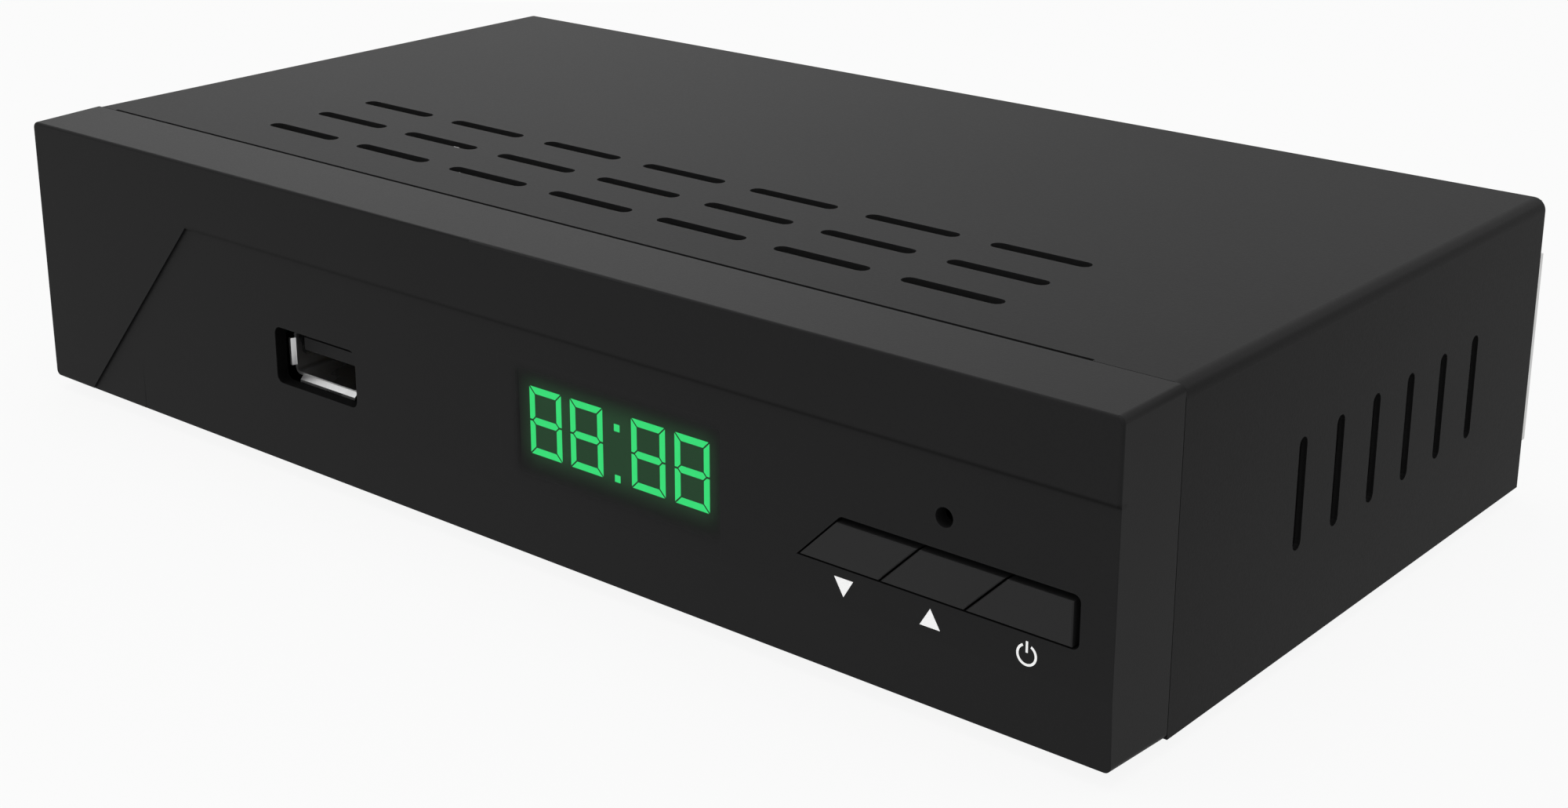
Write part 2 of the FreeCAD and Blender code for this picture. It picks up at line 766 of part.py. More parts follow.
# Moulded front: a drafted tray with a recessed field, openings, pillars and tongues
def make_bezel():
    body = new_body("front_bezel")
    outside = around("0", "case_height / 2", "case_width", "case_height")
    grow(body, outline(body, "XZ", "bezel_depth", outside), "bezel_depth", "-Y", taper="-bezel_draft")
    deep = number("bezel_depth")
    soften(body, "Fillet", "bezel_corner", lambda box: near(box.YLength, deep, 0.1) and box.XLength < 1)
    soften(body, "Fillet", "bezel_edge", lambda box: box.YMax < 0.01 and box.YLength < 0.01)
    inside = around("0", "case_height / 2", "case_width - 2 * bezel_wall", "case_height - 2 * bezel_wall")
    hollow = outline(body, "XZ", "bezel_depth", inside)
    cut(body, hollow, "bezel_depth - bezel_wall", "-Y", taper="-bezel_draft")

    field = [
        ("field_corner_x", "field_top"),
        ("field_corner_x - field_slant * (field_top + 1)", "-1"),
        ("case_width / 2 + 1", "-1"),
        ("case_width / 2 + 1", "field_top"),
    ]
    cut(body, outline(body, "XZ", "-1", field), "1 + field_deep", "+Y")
    right = outline(body, "YZ", "case_width / 2 + 1", crease_section("crease_deep"))
    far_end = "field_corner_x - field_slant * field_top / 2"
    left = outline(body, "YZ", far_end, crease_section("crease_fade"))
    wedge = body.newObject("PartDesign::SubtractiveLoft", "crease_loft")
    wedge.Profile = right
    wedge.Sections = [left]
    wedge.Ruled = True
    doc.recompute()

    wall = "bezel_wall + 2"
    usb = around("usb_centre_x", "usb_centre_z", "usb_mouth_width", "usb_mouth_height")
    cut(body, outline(body, "XZ", "-1", usb), wall, "+Y")
    round_corners(body, usb, "usb_mouth_radius")
    window = around("display_centre_x", "display_centre_z", "window_width", "window_height")
    cut(body, outline(body, "XZ", "-1", window), wall, "+Y")
    rebate = around(
        "display_centre_x", "display_centre_z",
        "window_width + 2 * window_rim", "window_height + 2 * window_rim",
    )
    cut(body, outline(body, "XZ", "field_deep + window_thick", rebate), "bezel_wall", "+Y")
    cut(body, circles(body, "XZ", "-1", [("eye_x", "eye_height")], "eye_hole_radius"), wall, "+Y")
    mouth = [
        (button_line(-1, "mouth_low") + " - button_gap / 2", "mouth_low"),
        ("mouth_right", "mouth_low"),
        ("mouth_right", "mouth_high"),
        (button_line(-1, "mouth_high") + " - button_gap / 2", "mouth_high"),
    ]
    cut(body, outline(body, "XZ", "-1", mouth), wall, "+Y")
    round_corners(body, mouth[1:], "mouth_radius")

    root = "bezel_wall / 2"
    pillars = polygons(body, "XZ", root, pillar_spots, "pillar_radius", head_sides)
    grow(body, pillars, f"{front_board_y} - {root}", "+Y")
    holes = polygons(body, "XZ", front_board_y, pillar_spots, "screw_shank + screw_fit", shank_sides)
    cut(body, holes, "pillar_hole_deep", "-Y")
    tongue_top = "case_height - cover_sheet - sheet_gap"
    tongue = corners("-tongue_width / 2", "tongue_width / 2", f"{tongue_top} - tongue_thick", tongue_top)
    grow(body, outline(body, "XZ", "bezel_depth - 1", tongue), "tongue_reach + 1", "+Y")
    hook_low = "tray_sheet + sheet_gap"
    hooks = [
        around(middle, f"{hook_low} + hook_thick / 2", "hook_width", "hook_thick")
        for middle in ("-hook_spread", "0", "hook_spread")
    ]
    grow(body, outline(body, "XZ", "bezel_depth - 1", *hooks), "hook_reach + 1", "+Y")
    return keep(body, "front_bezel")


def crease_section(deep):
    """Where the field leans back towards the lower edge."""
    return [
        ("field_deep / 2", "crease_height"),
        ("field_deep", "crease_height"),
        (f"field_deep + {deep} * (crease_height + 1) / crease_height", "-1"),
        ("field_deep / 2", "-1"),
    ]


def round_corners(body, points, radius):
    """Round the corners that a pocket along Y has at these points."""
    spots = [(number(across), number(up)) for across, up in points]

    def at_corner(box):
        upright = near(box.XLength, 0) and near(box.ZLength, 0) and box.YLength > 0.5
        return upright and any(near(box.XMin, x) and near(box.ZMin, z) for x, z in spots)

    soften(body, "Fillet", radius, at_corner)


def button_line(index, height):
    """The slanted line between two buttons, at a height."""
    lean = f"button_slant * ({height} - {button_middle})"
    return f"(button_first_x + ({index}) * button_pitch + {lean})"


def make_window():
    body = new_body("display_window")
    pane = around("display_centre_x", "display_centre_z", "window_width", "window_height")
    grow(body, outline(body, "XZ", "field_deep", pane), "bezel_wall - field_deep", "+Y")
    rim = around(
        "display_centre_x", "display_centre_z",
        "window_width + 2 * window_rim", "window_height + 2 * window_rim",
    )
    behind = "field_deep + window_thick"
    grow(body, outline(body, "XZ", behind, rim), f"bezel_wall - ({behind})", "+Y")
    return keep(body, "display_window")


# Seven segments of one digit, mitred where they meet
def digit_segments():
    left = "(display_centre_x - digit_middle / 2 - digit_width - digit_pitch)"
    low = "(display_centre_z - digit_height / 2)"
    wide = "digit_width"
    tall = "digit_height"
    stroke = "stroke_width"
    gap = "mitre_gap"
    middle = "(digit_height / 2)"
    upper = [
        ("0", f"{tall} - {gap}"),
        (stroke, f"{tall} - {stroke} - {gap}"),
        (stroke, f"{middle} + {stroke} / 2 + {gap}"),
        (f"{stroke} / 2", f"{middle} + {gap}"),
        ("0", f"{middle} + {gap}"),
    ]
    top = [
        (gap, tall),
        (f"{wide} - {gap}", tall),
        (f"{wide} - {stroke} - {gap}", f"{tall} - {stroke}"),
        (f"{stroke} + {gap}", f"{tall} - {stroke}"),
    ]
    bar = [
        (f"{stroke} / 2 + {gap}", middle),
        (f"{stroke} + {gap}", f"{middle} + {stroke} / 2"),
        (f"{wide} - {stroke} - {gap}", f"{middle} + {stroke} / 2"),
        (f"{wide} - {stroke} / 2 - {gap}", middle),
        (f"{wide} - {stroke} - {gap}", f"{middle} - {stroke} / 2"),
        (f"{stroke} + {gap}", f"{middle} - {stroke} / 2"),
    ]

    def across(loop):
        return [(f"{wide} - ({x})", z) for x, z in loop]

    def down(loop):
        return [(x, f"{tall} - ({z})") for x, z in loop]

    loops = [top, upper, across(upper), bar, down(upper), across(down(upper)), down(top)]
    return [[(f"{left} + {x}", f"{low} + {z}") for x, z in loop] for loop in loops]


def four_digits(body, feature):
    """Repeat one digit as two pairs."""
    transform = body.newObject("PartDesign::MultiTransform", body.Name + "_digits")
    transform.Originals = [feature]
    steps = ["digit_pitch", "digit_pitch + digit_width + digit_middle"]
    patterns = []
    for step in steps:
        pattern = body.newObject("PartDesign::LinearPattern", body.Name + "_step")
        line = [item for item in body.Origin.OriginFeatures if item.Role == "X_Axis"][0]
        pattern.Direction = (line, [""])
        tie(pattern, "Length", step)
        pattern.Occurrences = 2
        patterns.append(pattern)
    transform.Transformations = patterns
    body.Tip = transform
    doc.recompute()
    return transform


def dots():
    return [
        around("display_centre_x", height, "dot_size", "dot_size")
        for height in ("dot_high", "dot_low")
    ]


def make_display():
    body = new_body("led_display")
    face = around("display_centre_x", "display_centre_z", "display_width", "display_height")
    grow(body, outline(body, "XZ", display_face, face), "display_deep", "+Y")
    cells = outline(body, "XZ", display_face, *digit_segments())
    four_digits(body, cut(body, cells, "segment_thick", "+Y"))
    cut(body, outline(body, "XZ", display_face, *dots()), "segment_thick", "+Y")
    keep(body, "led_display")
    lit = new_body("display_segments")
    shapes = outline(lit, "XZ", display_face, *digit_segments())
    four_digits(lit, grow(lit, shapes, "segment_thick", "+Y"))
    grow(lit, outline(lit, "XZ", display_face, *dots()), "segment_thick", "+Y")
    keep(lit, "display_segments")


def make_front_board():
    body = new_body("front_board")
    board = corners("front_board_left", "front_board_right", "front_board_low", "front_board_high")
    grow(body, outline(body, "XZ", front_board_y, board), "board_thick", "+Y")
    holes = polygons(body, "XZ", front_board_y, pillar_spots, "screw_hole", shank_sides)
    cut(body, holes, "board_thick", "+Y")
    keep(body, "front_board")
    screws("front_board_screws", "XZ", "+Y", front_board_back, pillar_spots)


# Pan-head screws that share a plane: heads outside it, shanks inside, a cross in each head
def screws(label, plane, out, at, spots):
    body = new_body(label)
    inward = ("-" if out[0] == "+" else "+") + out[1]
    heads = polygons(body, plane, at, spots, "screw_head", head_sides)
    grow(body, heads, "screw_head_high", out)
    soften(body, "Chamfer", "screw_head_edge", rim_test(out, number(at), number("screw_head_high")))
    shanks = polygons(body, plane, at, spots, "screw_shank", shank_sides)
    grow(body, shanks, "screw_length", inward)
    face = f"{at} {out[0]} screw_head_high"
    for width, height in (("screw_slot_length", "screw_slot"), ("screw_slot", "screw_slot_length")):
        marks = [around(across, up, width, height) for across, up in spots]
        cut(body, outline(body, plane, face, *marks), "screw_slot_deep", inward)
    return keep(body, label)


def rim_test(out, at, high):
    """Edges of the screw heads that lie on their outer faces."""
    target = at + high if out[0] == "+" else at - high

    def on_rim(box):
        low, top = (box.YMin, box.YMax) if out[1] == "Y" else (box.ZMin, box.ZMax)
        return near(low, target) and near(top, target)

    return on_rim


def button_middle_x(index):
    if index < 2:
        return f"(button_first_x + ({index} - 0.5) * button_pitch)"
    return "((button_first_x + button_pitch + button_right) / 2)"


# One push button: a slanted cap with a broken edge, a flange behind the front and a stem
def make_button(name, index):
    body = new_body(name)
    half_gap = "button_gap / 2"

    def sides(low, high, left_over, right_over, right_end):
        left = [f"{button_line(index - 1, z)} + {left_over}" for z in (low, high)]
        right = [f"{button_line(index, z)} - {right_over}" for z in (low, high)]
        if index == 2:
            right = [right_end, right_end]
        return [(left[0], low), (right[0], low), (right[1], high), (left[1], high)]

    cap = sides("button_low", "button_high", half_gap, half_gap, "button_right")
    grow(body, outline(body, "XZ", "button_face", cap), f"{flange_front} - button_face", "+Y")
    face = number("button_face")
    soften(body, "Chamfer", "button_edge", lambda box: near(box.YMin, face) and near(box.YMax, face))
    low = "(mouth_low - flange_over)"
    high = "(mouth_high + flange_over)"
    left_over = "(-flange_over)" if index == 0 else half_gap
    flange = sides(low, high, left_over, half_gap, "mouth_right + flange_over")
    grow(body, outline(body, "XZ", flange_front, flange), "flange_thick", "+Y")
    spot = [(button_middle_x(index), button_middle)]
    stem_start = f"({flange_front} + flange_thick)"
    stem = polygons(body, "XZ", stem_start, spot, "stem_radius", head_sides)
    grow(body, stem, f"{switch_tip} - plunger_gap - {stem_start}", "+Y")
    return keep(body, name)


def make_switches():
    body = new_body("tact_switches")
    face = f"({front_board_y} - switch_deep)"
    squares = [
        around(button_middle_x(index), button_middle, "switch_width", "switch_width")
        for index in range(3)
    ]
    grow(body, outline(body, "XZ", face, *squares), "switch_deep", "+Y")
    spots = [(button_middle_x(index), button_middle) for index in range(3)]
    bores = polygons(body, "XZ", face, spots, "plunger_radius + plunger_clearance", head_sides)
    depth = "plunger_length + button_travel + plunger_gap - (switch_rise - switch_deep)"
    cut(body, bores, depth, "+Y")
    keep(body, "tact_switches")


def make_plunger(name, index):
    body = new_body(name)
    spot = [(button_middle_x(index), button_middle)]
    round_end = polygons(body, "XZ", switch_tip, spot, "plunger_radius", head_sides)
    grow(body, round_end, "plunger_length", "+Y")
    tip = number(switch_tip)
    soften(body, "Chamfer", "plunger_edge", lambda box: near(box.YMin, tip) and near(box.YMax, tip))
    keep(body, name)


def make_eye():
    body = new_body("ir_receiver")
    face = f"({front_board_y} - eye_deep)"
    block = around("eye_x", "eye_height + eye_lift", "eye_width", "eye_tall")
    grow(body, outline(body, "XZ", face, block), "eye_deep", "+Y")
    grow(body, circles(body, "XZ", face, [("eye_x", "eye_height")], "eye_dome"), "eye_dome", "-Y")
    front = number(f"{face} - eye_dome")
    soften(body, "Chamfer", "eye_dome_edge", lambda box: near(box.YMin, front) and near(box.YMax, front))
    keep(body, "ir_receiver")


# USB socket: a folded shell with four flared lips, the tongue inside it and its contacts
def make_usb():
    shell = new_body("usb_shell")
    outer = around("usb_centre_x", "usb_centre_z", "usb_width", "usb_height")
    grow(shell, outline(shell, "XZ", "usb_front", outer), "usb_length", "+Y")
    round_corners(shell, outer, "usb_radius")
    inner = around("usb_centre_x", "usb_centre_z", "usb_width - 2 * usb_wall", "usb_height - 2 * usb_wall")
    cut(shell, outline(shell, "XZ", "usb_front", inner), "usb_length - usb_wall", "+Y")
    round_corners(shell, inner, "usb_radius - usb_wall")
    left = "usb_centre_x - usb_lip_width / 2"
    for sign in ("+", "-"):
        lip = flared_lip("usb_centre_z", sign, "usb_height", "usb_lip_flare")
        grow(shell, outline(shell, "YZ", left, lip), "usb_lip_width", "+X")
    low = "usb_centre_z - usb_lip_height / 2"
    for sign in ("+", "-"):
        lip = flared_lip("usb_centre_x", sign, "usb_width", "usb_side_flare")
        turned = [(across, along) for along, across in lip]
        grow(shell, outline(shell, "XY", low, turned), "usb_lip_height", "+Z")
    keep(shell, "usb_shell")

    tongue = new_body("usb_tongue")
    floor = "(usb_centre_z - usb_height / 2 + usb_wall)"
    roof = "(usb_centre_z + usb_height / 2 - usb_wall)"
    back = "(usb_front + usb_length - usb_wall)"
    root = f"({back} - usb_root)"
    tip = f"({root} - usb_tongue_length)"
    top = f"({roof} - usb_tongue_drop)"
    under = f"({top} - usb_tongue_thick)"
    profile = [
        (back, floor), (back, roof), (root, roof), (root, top),
        (tip, top), (tip, under), (root, under), (root, floor),
    ]
    left = "usb_centre_x - usb_tongue_width / 2"
    grow(tongue, outline(tongue, "YZ", left, profile), "usb_tongue_width", "+X")
    keep(tongue, "usb_tongue")

    strips = [
        brick(
            f"usb_contact_{index}",
            f"usb_centre_x + {index - (usb_contact_count - 1) / 2} * contact_pitch - contact_width / 2",
            f"{root} - contact_length", f"{under} - contact_thick",
            "contact_width", "contact_length", "contact_thick",
        )
        for index in range(usb_contact_count)
    ]
    keep(group("usb_contacts", strips), "usb_contacts")


def flared_lip(middle, sign, size, flare):
    """One lip in section: it leaves the shell's front edge forwards and outwards."""
    outside = f"{middle} {sign} {size} / 2"
    inside = f"{middle} {sign} ({size} / 2 - usb_wall)"
    front = "(usb_front - usb_lip_reach)"
    root = "(usb_front + usb_wall / 2)"
    return [
        (root, inside), (front, f"{inside} {sign} {flare}"),
        (front, f"{outside} {sign} {flare}"), (root, outside),
    ]


# Main board with an arm that carries the USB socket, on four spacers
def make_main_board():
    body = new_body("main_board")
    arm_left = "usb_centre_x - usb_arm_side"
    arm_right = "usb_centre_x + usb_arm_side"
    points = [
        ("-main_board_half", "main_board_front"),
        (arm_left, "main_board_front"),
        (arm_left, "usb_arm_front"),
        (arm_right, "usb_arm_front"),
        (arm_right, "main_board_front"),
        ("main_board_half", "main_board_front"),
        ("main_board_half", "main_board_back"),
        ("-main_board_half", "main_board_back"),
    ]
    grow(body, outline(body, "XY", board_low, points), "board_thick", "+Z")
    holes = polygons(body, "XY", board_top, spacer_spots, "screw_hole", shank_sides)
    cut(body, holes, "board_thick", "-Z")
    keep(body, "main_board")
    spacers = new_body("board_standoffs")
    hexagons = polygons(spacers, "XY", "tray_sheet", spacer_spots, "spacer_radius", spacer_sides)
    grow(spacers, hexagons, f"{board_low} - tray_sheet", "+Z")
    bores = polygons(spacers, "XY", board_low, spacer_spots, "spacer_hole", shank_sides)
    cut(spacers, bores, "spacer_hole_deep", "-Z")
    keep(spacers, "board_standoffs")
    screws("board_screws", "XY", "+Z", board_top, spacer_spots)


def make_link():
    body = new_body("link_strip")
    front = "(main_board_front + header_in)"
    block = around("header_x", f"{front} + header_width / 2", f"header_pitch * {header_pins}", "header_width")
    grow(body, outline(body, "XY", board_top, block), "header_width", "+Z")
    keep(body, "link_strip")
    pins = new_body("link_pins")
    first_x = f"header_x - {(header_pins - 1) / 2} * header_pitch"
    first = around(first_x, f"{board_top} + header_rise", "header_pin", "header_pin")
    pin = grow(pins, outline(pins, "XZ", front_board_back, first), f"{front} - {front_board_back}", "+Y")
    row_of(pins, [pin], "X", "header_pitch", header_pins)
    keep(pins, "link_pins")


# Tuner box with the threaded aerial socket that its nut clamps to the back panel
def make_tuner():
    can = new_body("tuner_can")
    back = f"({panel_front} - lnb_neck)"
    front = f"{back} - tuner_length"
    lid = corners("lnb_x - tuner_width / 2", "lnb_x + tuner_width / 2", front, back)
    left = "lnb_x - tuner_width / 2 + tuner_sheet"
    right = "lnb_x + tuner_width / 2 - tuner_sheet"
    walls = outline(can, "XY", board_top, corners(left, right, f"{front} + tuner_sheet", back))
    grow(can, walls, "tuner_height", "+Z")
    roof = f"({board_top} + tuner_height - tuner_lid)"
    grow(can, outline(can, "XY", roof, lid), "tuner_lid", "+Z")
    keep(can, "tuner_can")
    spot = [("lnb_x", f"{board_top} + lnb_rise")]
    end = f"({panel_back} + lnb_reach)"
    socket = new_body("lnb_socket")
    grow(socket, circles(socket, "XZ", back, spot, "lnb_shoulder"), "lnb_neck", "+Y")
    grow(socket, circles(socket, "XZ", back, spot, "lnb_radius - lnb_relief"), f"{end} - {back}", "+Y")
    thread = f"({panel_back} + lnb_nut_thick + lnb_relief_length)"
    grow(socket, circles(socket, "XZ", thread, spot, "lnb_radius"), f"{end} - {thread}", "+Y")
    tip = number(end)
    soften(socket, "Chamfer", "lnb_chamfer", lambda box: near(box.YMin, tip) and near(box.YMax, tip))
    cut(socket, circles(socket, "XZ", end, spot, "lnb_core"), "lnb_reach", "-Y")
    keep(socket, "lnb_socket")
    core = new_body("lnb_insulator")
    face = f"({end} - lnb_core_in)"
    grow(core, circles(core, "XZ", face, spot, "lnb_core"), "lnb_reach - lnb_core_in", "-Y")
    cut(core, circles(core, "XZ", face, spot, "lnb_pin_hole"), "lnb_reach / 2", "-Y")
    keep(core, "lnb_insulator")
    nut = new_body("lnb_nut")
    flat = "lnb_nut_across / 2"
    point = "lnb_nut_across / sqrt(3)"
    hexagon = [
        (point, "0"), (f"{point} / 2", flat), (f"-{point} / 2", flat),
        (f"-{point}", "0"), (f"-{point} / 2", f"-{flat}"), (f"{point} / 2", f"-{flat}"),
    ]
    across, up = spot[0]
    placed = [(f"{across} + {x}", f"{up} + {z}") for x, z in hexagon]
    grow(nut, outline(nut, "XZ", panel_back, placed), "lnb_nut_thick", "+Y")
    bore = circles(nut, "XZ", panel_back, spot, "lnb_radius + lnb_nut_clearance")
    cut(nut, bore, "lnb_nut_thick", "+Y")
    keep(nut, "lnb_nut")


# Wide socket: a block with a keyed groove round a core, and two rows of slots
def make_scart():
    body = new_body("scart_socket")
    face = f"({panel_back} + socket_proud)"
    middle = f"({board_top} + scart_height / 2)"
    block = around("scart_x", middle, "scart_width", "scart_height")
    grow(body, outline(body, "XZ", face, block), "scart_deep", "-Y")

    def keyed(width, height, notch):
        points = [
            (f"-{width} / 2", f"{height} / 2"),
            (f"{width} / 2", f"{height} / 2"),
            (f"{width} / 2", f"{notch} - {height} / 2"),
            (f"{width} / 2 - {notch}", f"-{height} / 2"),
            (f"-{width} / 2", f"-{height} / 2"),
        ]
        return [(f"scart_x + {x}", f"{middle} + {z}") for x, z in points]

    core_width = "(scart_mouth_width - 2 * scart_core_gap)"
    core_height = "(scart_mouth_height - 2 * scart_core_gap)"
    ring = outline(
        body, "XZ", face,
        keyed("scart_mouth_width", "scart_mouth_height", "scart_cut"),
        keyed(core_width, core_height, "scart_cut"),
    )
    cut(body, ring, "scart_groove", "-Y")
    blades = new_body("scart_contacts")
    slots = []
    strips = []
    blade_face = f"{face} - scart_blade_in"
    blade_length = "scart_slot_deep - scart_blade_in"
    across = f"(scart_x - {(scart_slots - 0.5) / 2} * scart_slot_pitch)"
    for side in ("+", "-"):
        up = f"({middle} {side} scart_slot_row)"
        hole = around(across, up, "scart_slot_width", "scart_slot_height")
        slots.append(cut(body, outline(body, "XZ", face, hole), "scart_slot_deep", "-Y"))
        strip = around(across, up, "scart_blade", "scart_blade_height")
        strips.append(grow(blades, outline(blades, "XZ", blade_face, strip), blade_length, "-Y"))
    row_of(body, slots, "X", "scart_slot_pitch", scart_slots)
    row_of(blades, strips, "X", "scart_slot_pitch", scart_slots)
    keep(body, "scart_socket")
    keep(blades, "scart_contacts")


def make_hdmi():
    shell = new_body("hdmi_shell")
    face = f"({panel_back} + socket_proud)"

    def funnel(inset):
        half = f"(hdmi_width / 2 - {inset})"
        low = f"({board_top} + {inset})"
        high = f"({board_top} + hdmi_height - {inset})"
        step = f"({low} + hdmi_slope)"
        return [
            (f"hdmi_x - {half}", high), (f"hdmi_x + {half}", high), (f"hdmi_x + {half}", step),
            (f"hdmi_x + {half} - hdmi_slope", low), (f"hdmi_x - {half} + hdmi_slope", low),
            (f"hdmi_x - {half}", step),
        ]

    grow(shell, outline(shell, "XZ", face, funnel("0")), "hdmi_length", "-Y")
    cut(shell, outline(shell, "XZ", face, funnel("hdmi_wall")), "hdmi_length - hdmi_wall", "-Y")
    keep(shell, "hdmi_shell")
    back = f"({face} - hdmi_length + hdmi_wall)"
    root = f"({back} + hdmi_root)"
    tip = f"({face} - hdmi_tongue_in)"
    middle = f"({board_top} + hdmi_height / 2 + hdmi_tongue_lift)"
    low = f"({board_top} + hdmi_wall)"
    high = f"({board_top} + hdmi_height - hdmi_wall)"
    tongue = new_body("hdmi_tongue")
    profile = [
        (back, low), (root, low), (root, f"{middle} - hdmi_tongue_thick / 2"),
        (tip, f"{middle} - hdmi_tongue_thick / 2"), (tip, f"{middle} + hdmi_tongue_thick / 2"),
        (root, f"{middle} + hdmi_tongue_thick / 2"), (root, high), (back, high),
    ]
    left = "hdmi_x - hdmi_tongue_width / 2"
    grow(tongue, outline(tongue, "YZ", left, profile), "hdmi_tongue_width", "+X")
    keep(tongue, "hdmi_tongue")


# Phono socket: a block whose flange fills the panel's hole, a metal barrel and a core
def make_audio():
    spot = [("audio_x", f"{board_top} + audio_rise")]
    end = f"({panel_back} + audio_reach)"
    jack = new_body("audio_jack")
    high = f"{board_top} + audio_rise + audio_block / 2"
    block = corners("audio_x - audio_block / 2", "audio_x + audio_block / 2", board_top, high)
    grow(jack, outline(jack, "XZ", panel_front, block), "audio_block_deep", "-Y")
    flange = f"({panel_back} + audio_flange_proud)"
    core = circles(jack, "XZ", f"{flange} - panel_sheet", spot, "audio_core")
    grow(jack, core, f"{end} - audio_core_in - {flange} + panel_sheet", "+Y")
    grow(jack, circles(jack, "XZ", flange, spot, "audio_flange"), f"{flange} - {panel_front}", "-Y")
    bore = circles(jack, "XZ", f"{end} - audio_core_in", spot, "audio_bore")
    cut(jack, bore, "audio_bore_deep", "-Y")
    keep(jack, "audio_jack")
    ring = new_body("audio_ring")
    neck = circles(ring, "XZ", flange, spot, "audio_radius - audio_neck_deep")
    grow(ring, neck, f"{end} - {flange}", "+Y")
    barrel = f"({flange} + audio_neck)"
    grow(ring, circles(ring, "XZ", barrel, spot, "audio_radius"), f"{end} - {barrel}", "+Y")
    bore = circles(ring, "XZ", end, spot, "audio_radius - audio_wall")
    cut(ring, bore, f"{end} - {flange}", "-Y")
    keep(ring, "audio_ring")


def make_power():
    face = f"({panel_back} + socket_proud)"
    spot = [("power_x", f"{board_top} + power_rise")]
    jack = new_body("dc_jack")
    block = corners(
        "power_x - power_block / 2", "power_x + power_block / 2",
        board_top, f"{board_top} + power_block_high",
    )
    grow(jack, outline(jack, "XZ", face, block), "power_block_deep", "-Y")
    cut(jack, circles(jack, "XZ", face, spot, "power_bore"), "power_bore_deep", "-Y")
    keep(jack, "dc_jack")
    pin = new_body("dc_pin")
    bottom = f"{face} - power_bore_deep"
    grow(pin, circles(pin, "XZ", bottom, spot, "power_pin"), "power_bore_deep - power_pin", "+Y")
    keep(pin, "dc_pin")


# What else stands on the main board
def make_components():
    left = "chip_x - chip_size / 2"
    front = "chip_y - chip_size / 2"
    chip = brick("processor_block", left, front, board_top, "chip_size", "chip_size", "chip_high")
    keep(group("main_processor", [chip]), "main_processor")
    sink = new_body("heatsink")
    low = f"({board_top} + chip_high)"
    plate = around("chip_x", "chip_y", "sink_size", "sink_size")
    grow(sink, outline(sink, "XY", low, plate), "sink_base", "+Z")
    first = around(f"chip_x - {(fin_count - 1) / 2} * fin_pitch", "chip_y", "fin_thick", "sink_size")
    fin = grow(sink, outline(sink, "XY", f"{low} + sink_base", first), "sink_high - sink_base", "+Z")
    row_of(sink, [fin], "X", "fin_pitch", fin_count)
    keep(sink, "heatsink")
    chips = [
        brick(
            f"memory_{index}", "memory_x - memory_width / 2",
            f"chip_y + {index - 1} * memory_pitch + (memory_pitch - memory_length) / 2", board_top,
            "memory_width", "memory_length", "memory_high",
        )
        for index in range(2)
    ]
    keep(group("memory_chips", chips), "memory_chips")
    cans = new_body("capacitors")
    drums = polygons(cans, "XY", board_top, capacitor_spots, "capacitor_radius", can_sides)
    grow(cans, drums, "capacitor_high", "+Z")
    top = number(f"{board_top} + capacitor_high")
    soften(cans, "Chamfer", "capacitor_edge", lambda box: near(box.ZMin, top) and near(box.ZMax, top))
    keep(cans, "capacitors")
    coils = new_body("inductors")
    squares = [around(across, up, "coil_size", "coil_size") for across, up in coil_spots]
    grow(coils, outline(coils, "XY", board_top, *squares), "coil_high", "+Z")
    keep(coils, "inductors")
    crystal = new_body("crystal")
    can = slot("chip_x", "chip_y + chip_size", "crystal_length", "crystal_width")
    grow(crystal, outline(crystal, "XY", board_top, can), "crystal_high", "+Z")
    keep(crystal, "crystal")


def make_feet():
    body = new_body("rubber_feet")
    spots = [
        (side_x, place_y)
        for side_x in ("-foot_x", "foot_x")
        for place_y in ("foot_front_y", "foot_back_y")
    ]
    grow(body, circles(body, "XY", "0", spots, "foot_radius"), "foot_height", "-Z")
    keep(body, "rubber_feet")


pillar_spots = [
    ("pillar_left_x", "pillar_high"),
    ("pillar_right_x", "pillar_high"),
    ("pillar_low_x", "pillar_low"),
]
spacer_spots = [
    (side_x, place_y)
    for side_x in ("-spacer_x", "spacer_x")
    for place_y in ("spacer_front_y", "spacer_back_y")
]
capacitor_spots = [
    ("power_x", "coil_y - part_pitch"),
    ("power_x", "coil_y - 2 * part_pitch"),
    ("audio_x", "coil_y - part_pitch"),
    ("audio_x", "coil_y - 2 * part_pitch"),
    ("scart_x + scart_width / 2", "coil_y - 2 * part_pitch"),
]
coil_spots = [
    ("power_x", "coil_y"),
    ("audio_x", "coil_y"),
    ("scart_x + scart_width / 2", "coil_y - part_pitch"),
]
rear_spots = [
    (side_x, height)
    for side_x in ("-rear_screw_x", "rear_screw_x")
    for height in ("rear_screw_low", "rear_screw_top")
]

make_cover()
make_chassis()
make_panel()
make_bezel()
make_window()
make_display()
make_front_board()
for place, word in enumerate(("down", "up", "power")):
    make_button(f"{word}_button", place)
    make_plunger(f"{word}_plunger", place)
make_switches()
make_eye()
make_usb()
make_main_board()
make_link()
make_tuner()
make_scart()
make_hdmi()
make_audio()
make_power()
make_components()
screws("rear_screws", "XZ", "+Y", panel_back, rear_spots)
make_feet()

doc.recompute()
for thing in doc.Objects:
    for state in thing.State:
        if state in ("Invalid", "Error"):
            raise RuntimeError(f"{thing.Name} is {state}")
for thing in parts:
    if thing.Shape.isNull() or not thing.Shape.isValid():
        raise RuntimeError(f"{thing.Label} has no valid shape")
os.makedirs("parts", exist_ok=True)
for thing in parts:
    thing.Shape.exportStep(f"parts/{thing.Label}.step")
print(len(parts), "pieces written")
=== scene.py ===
import math

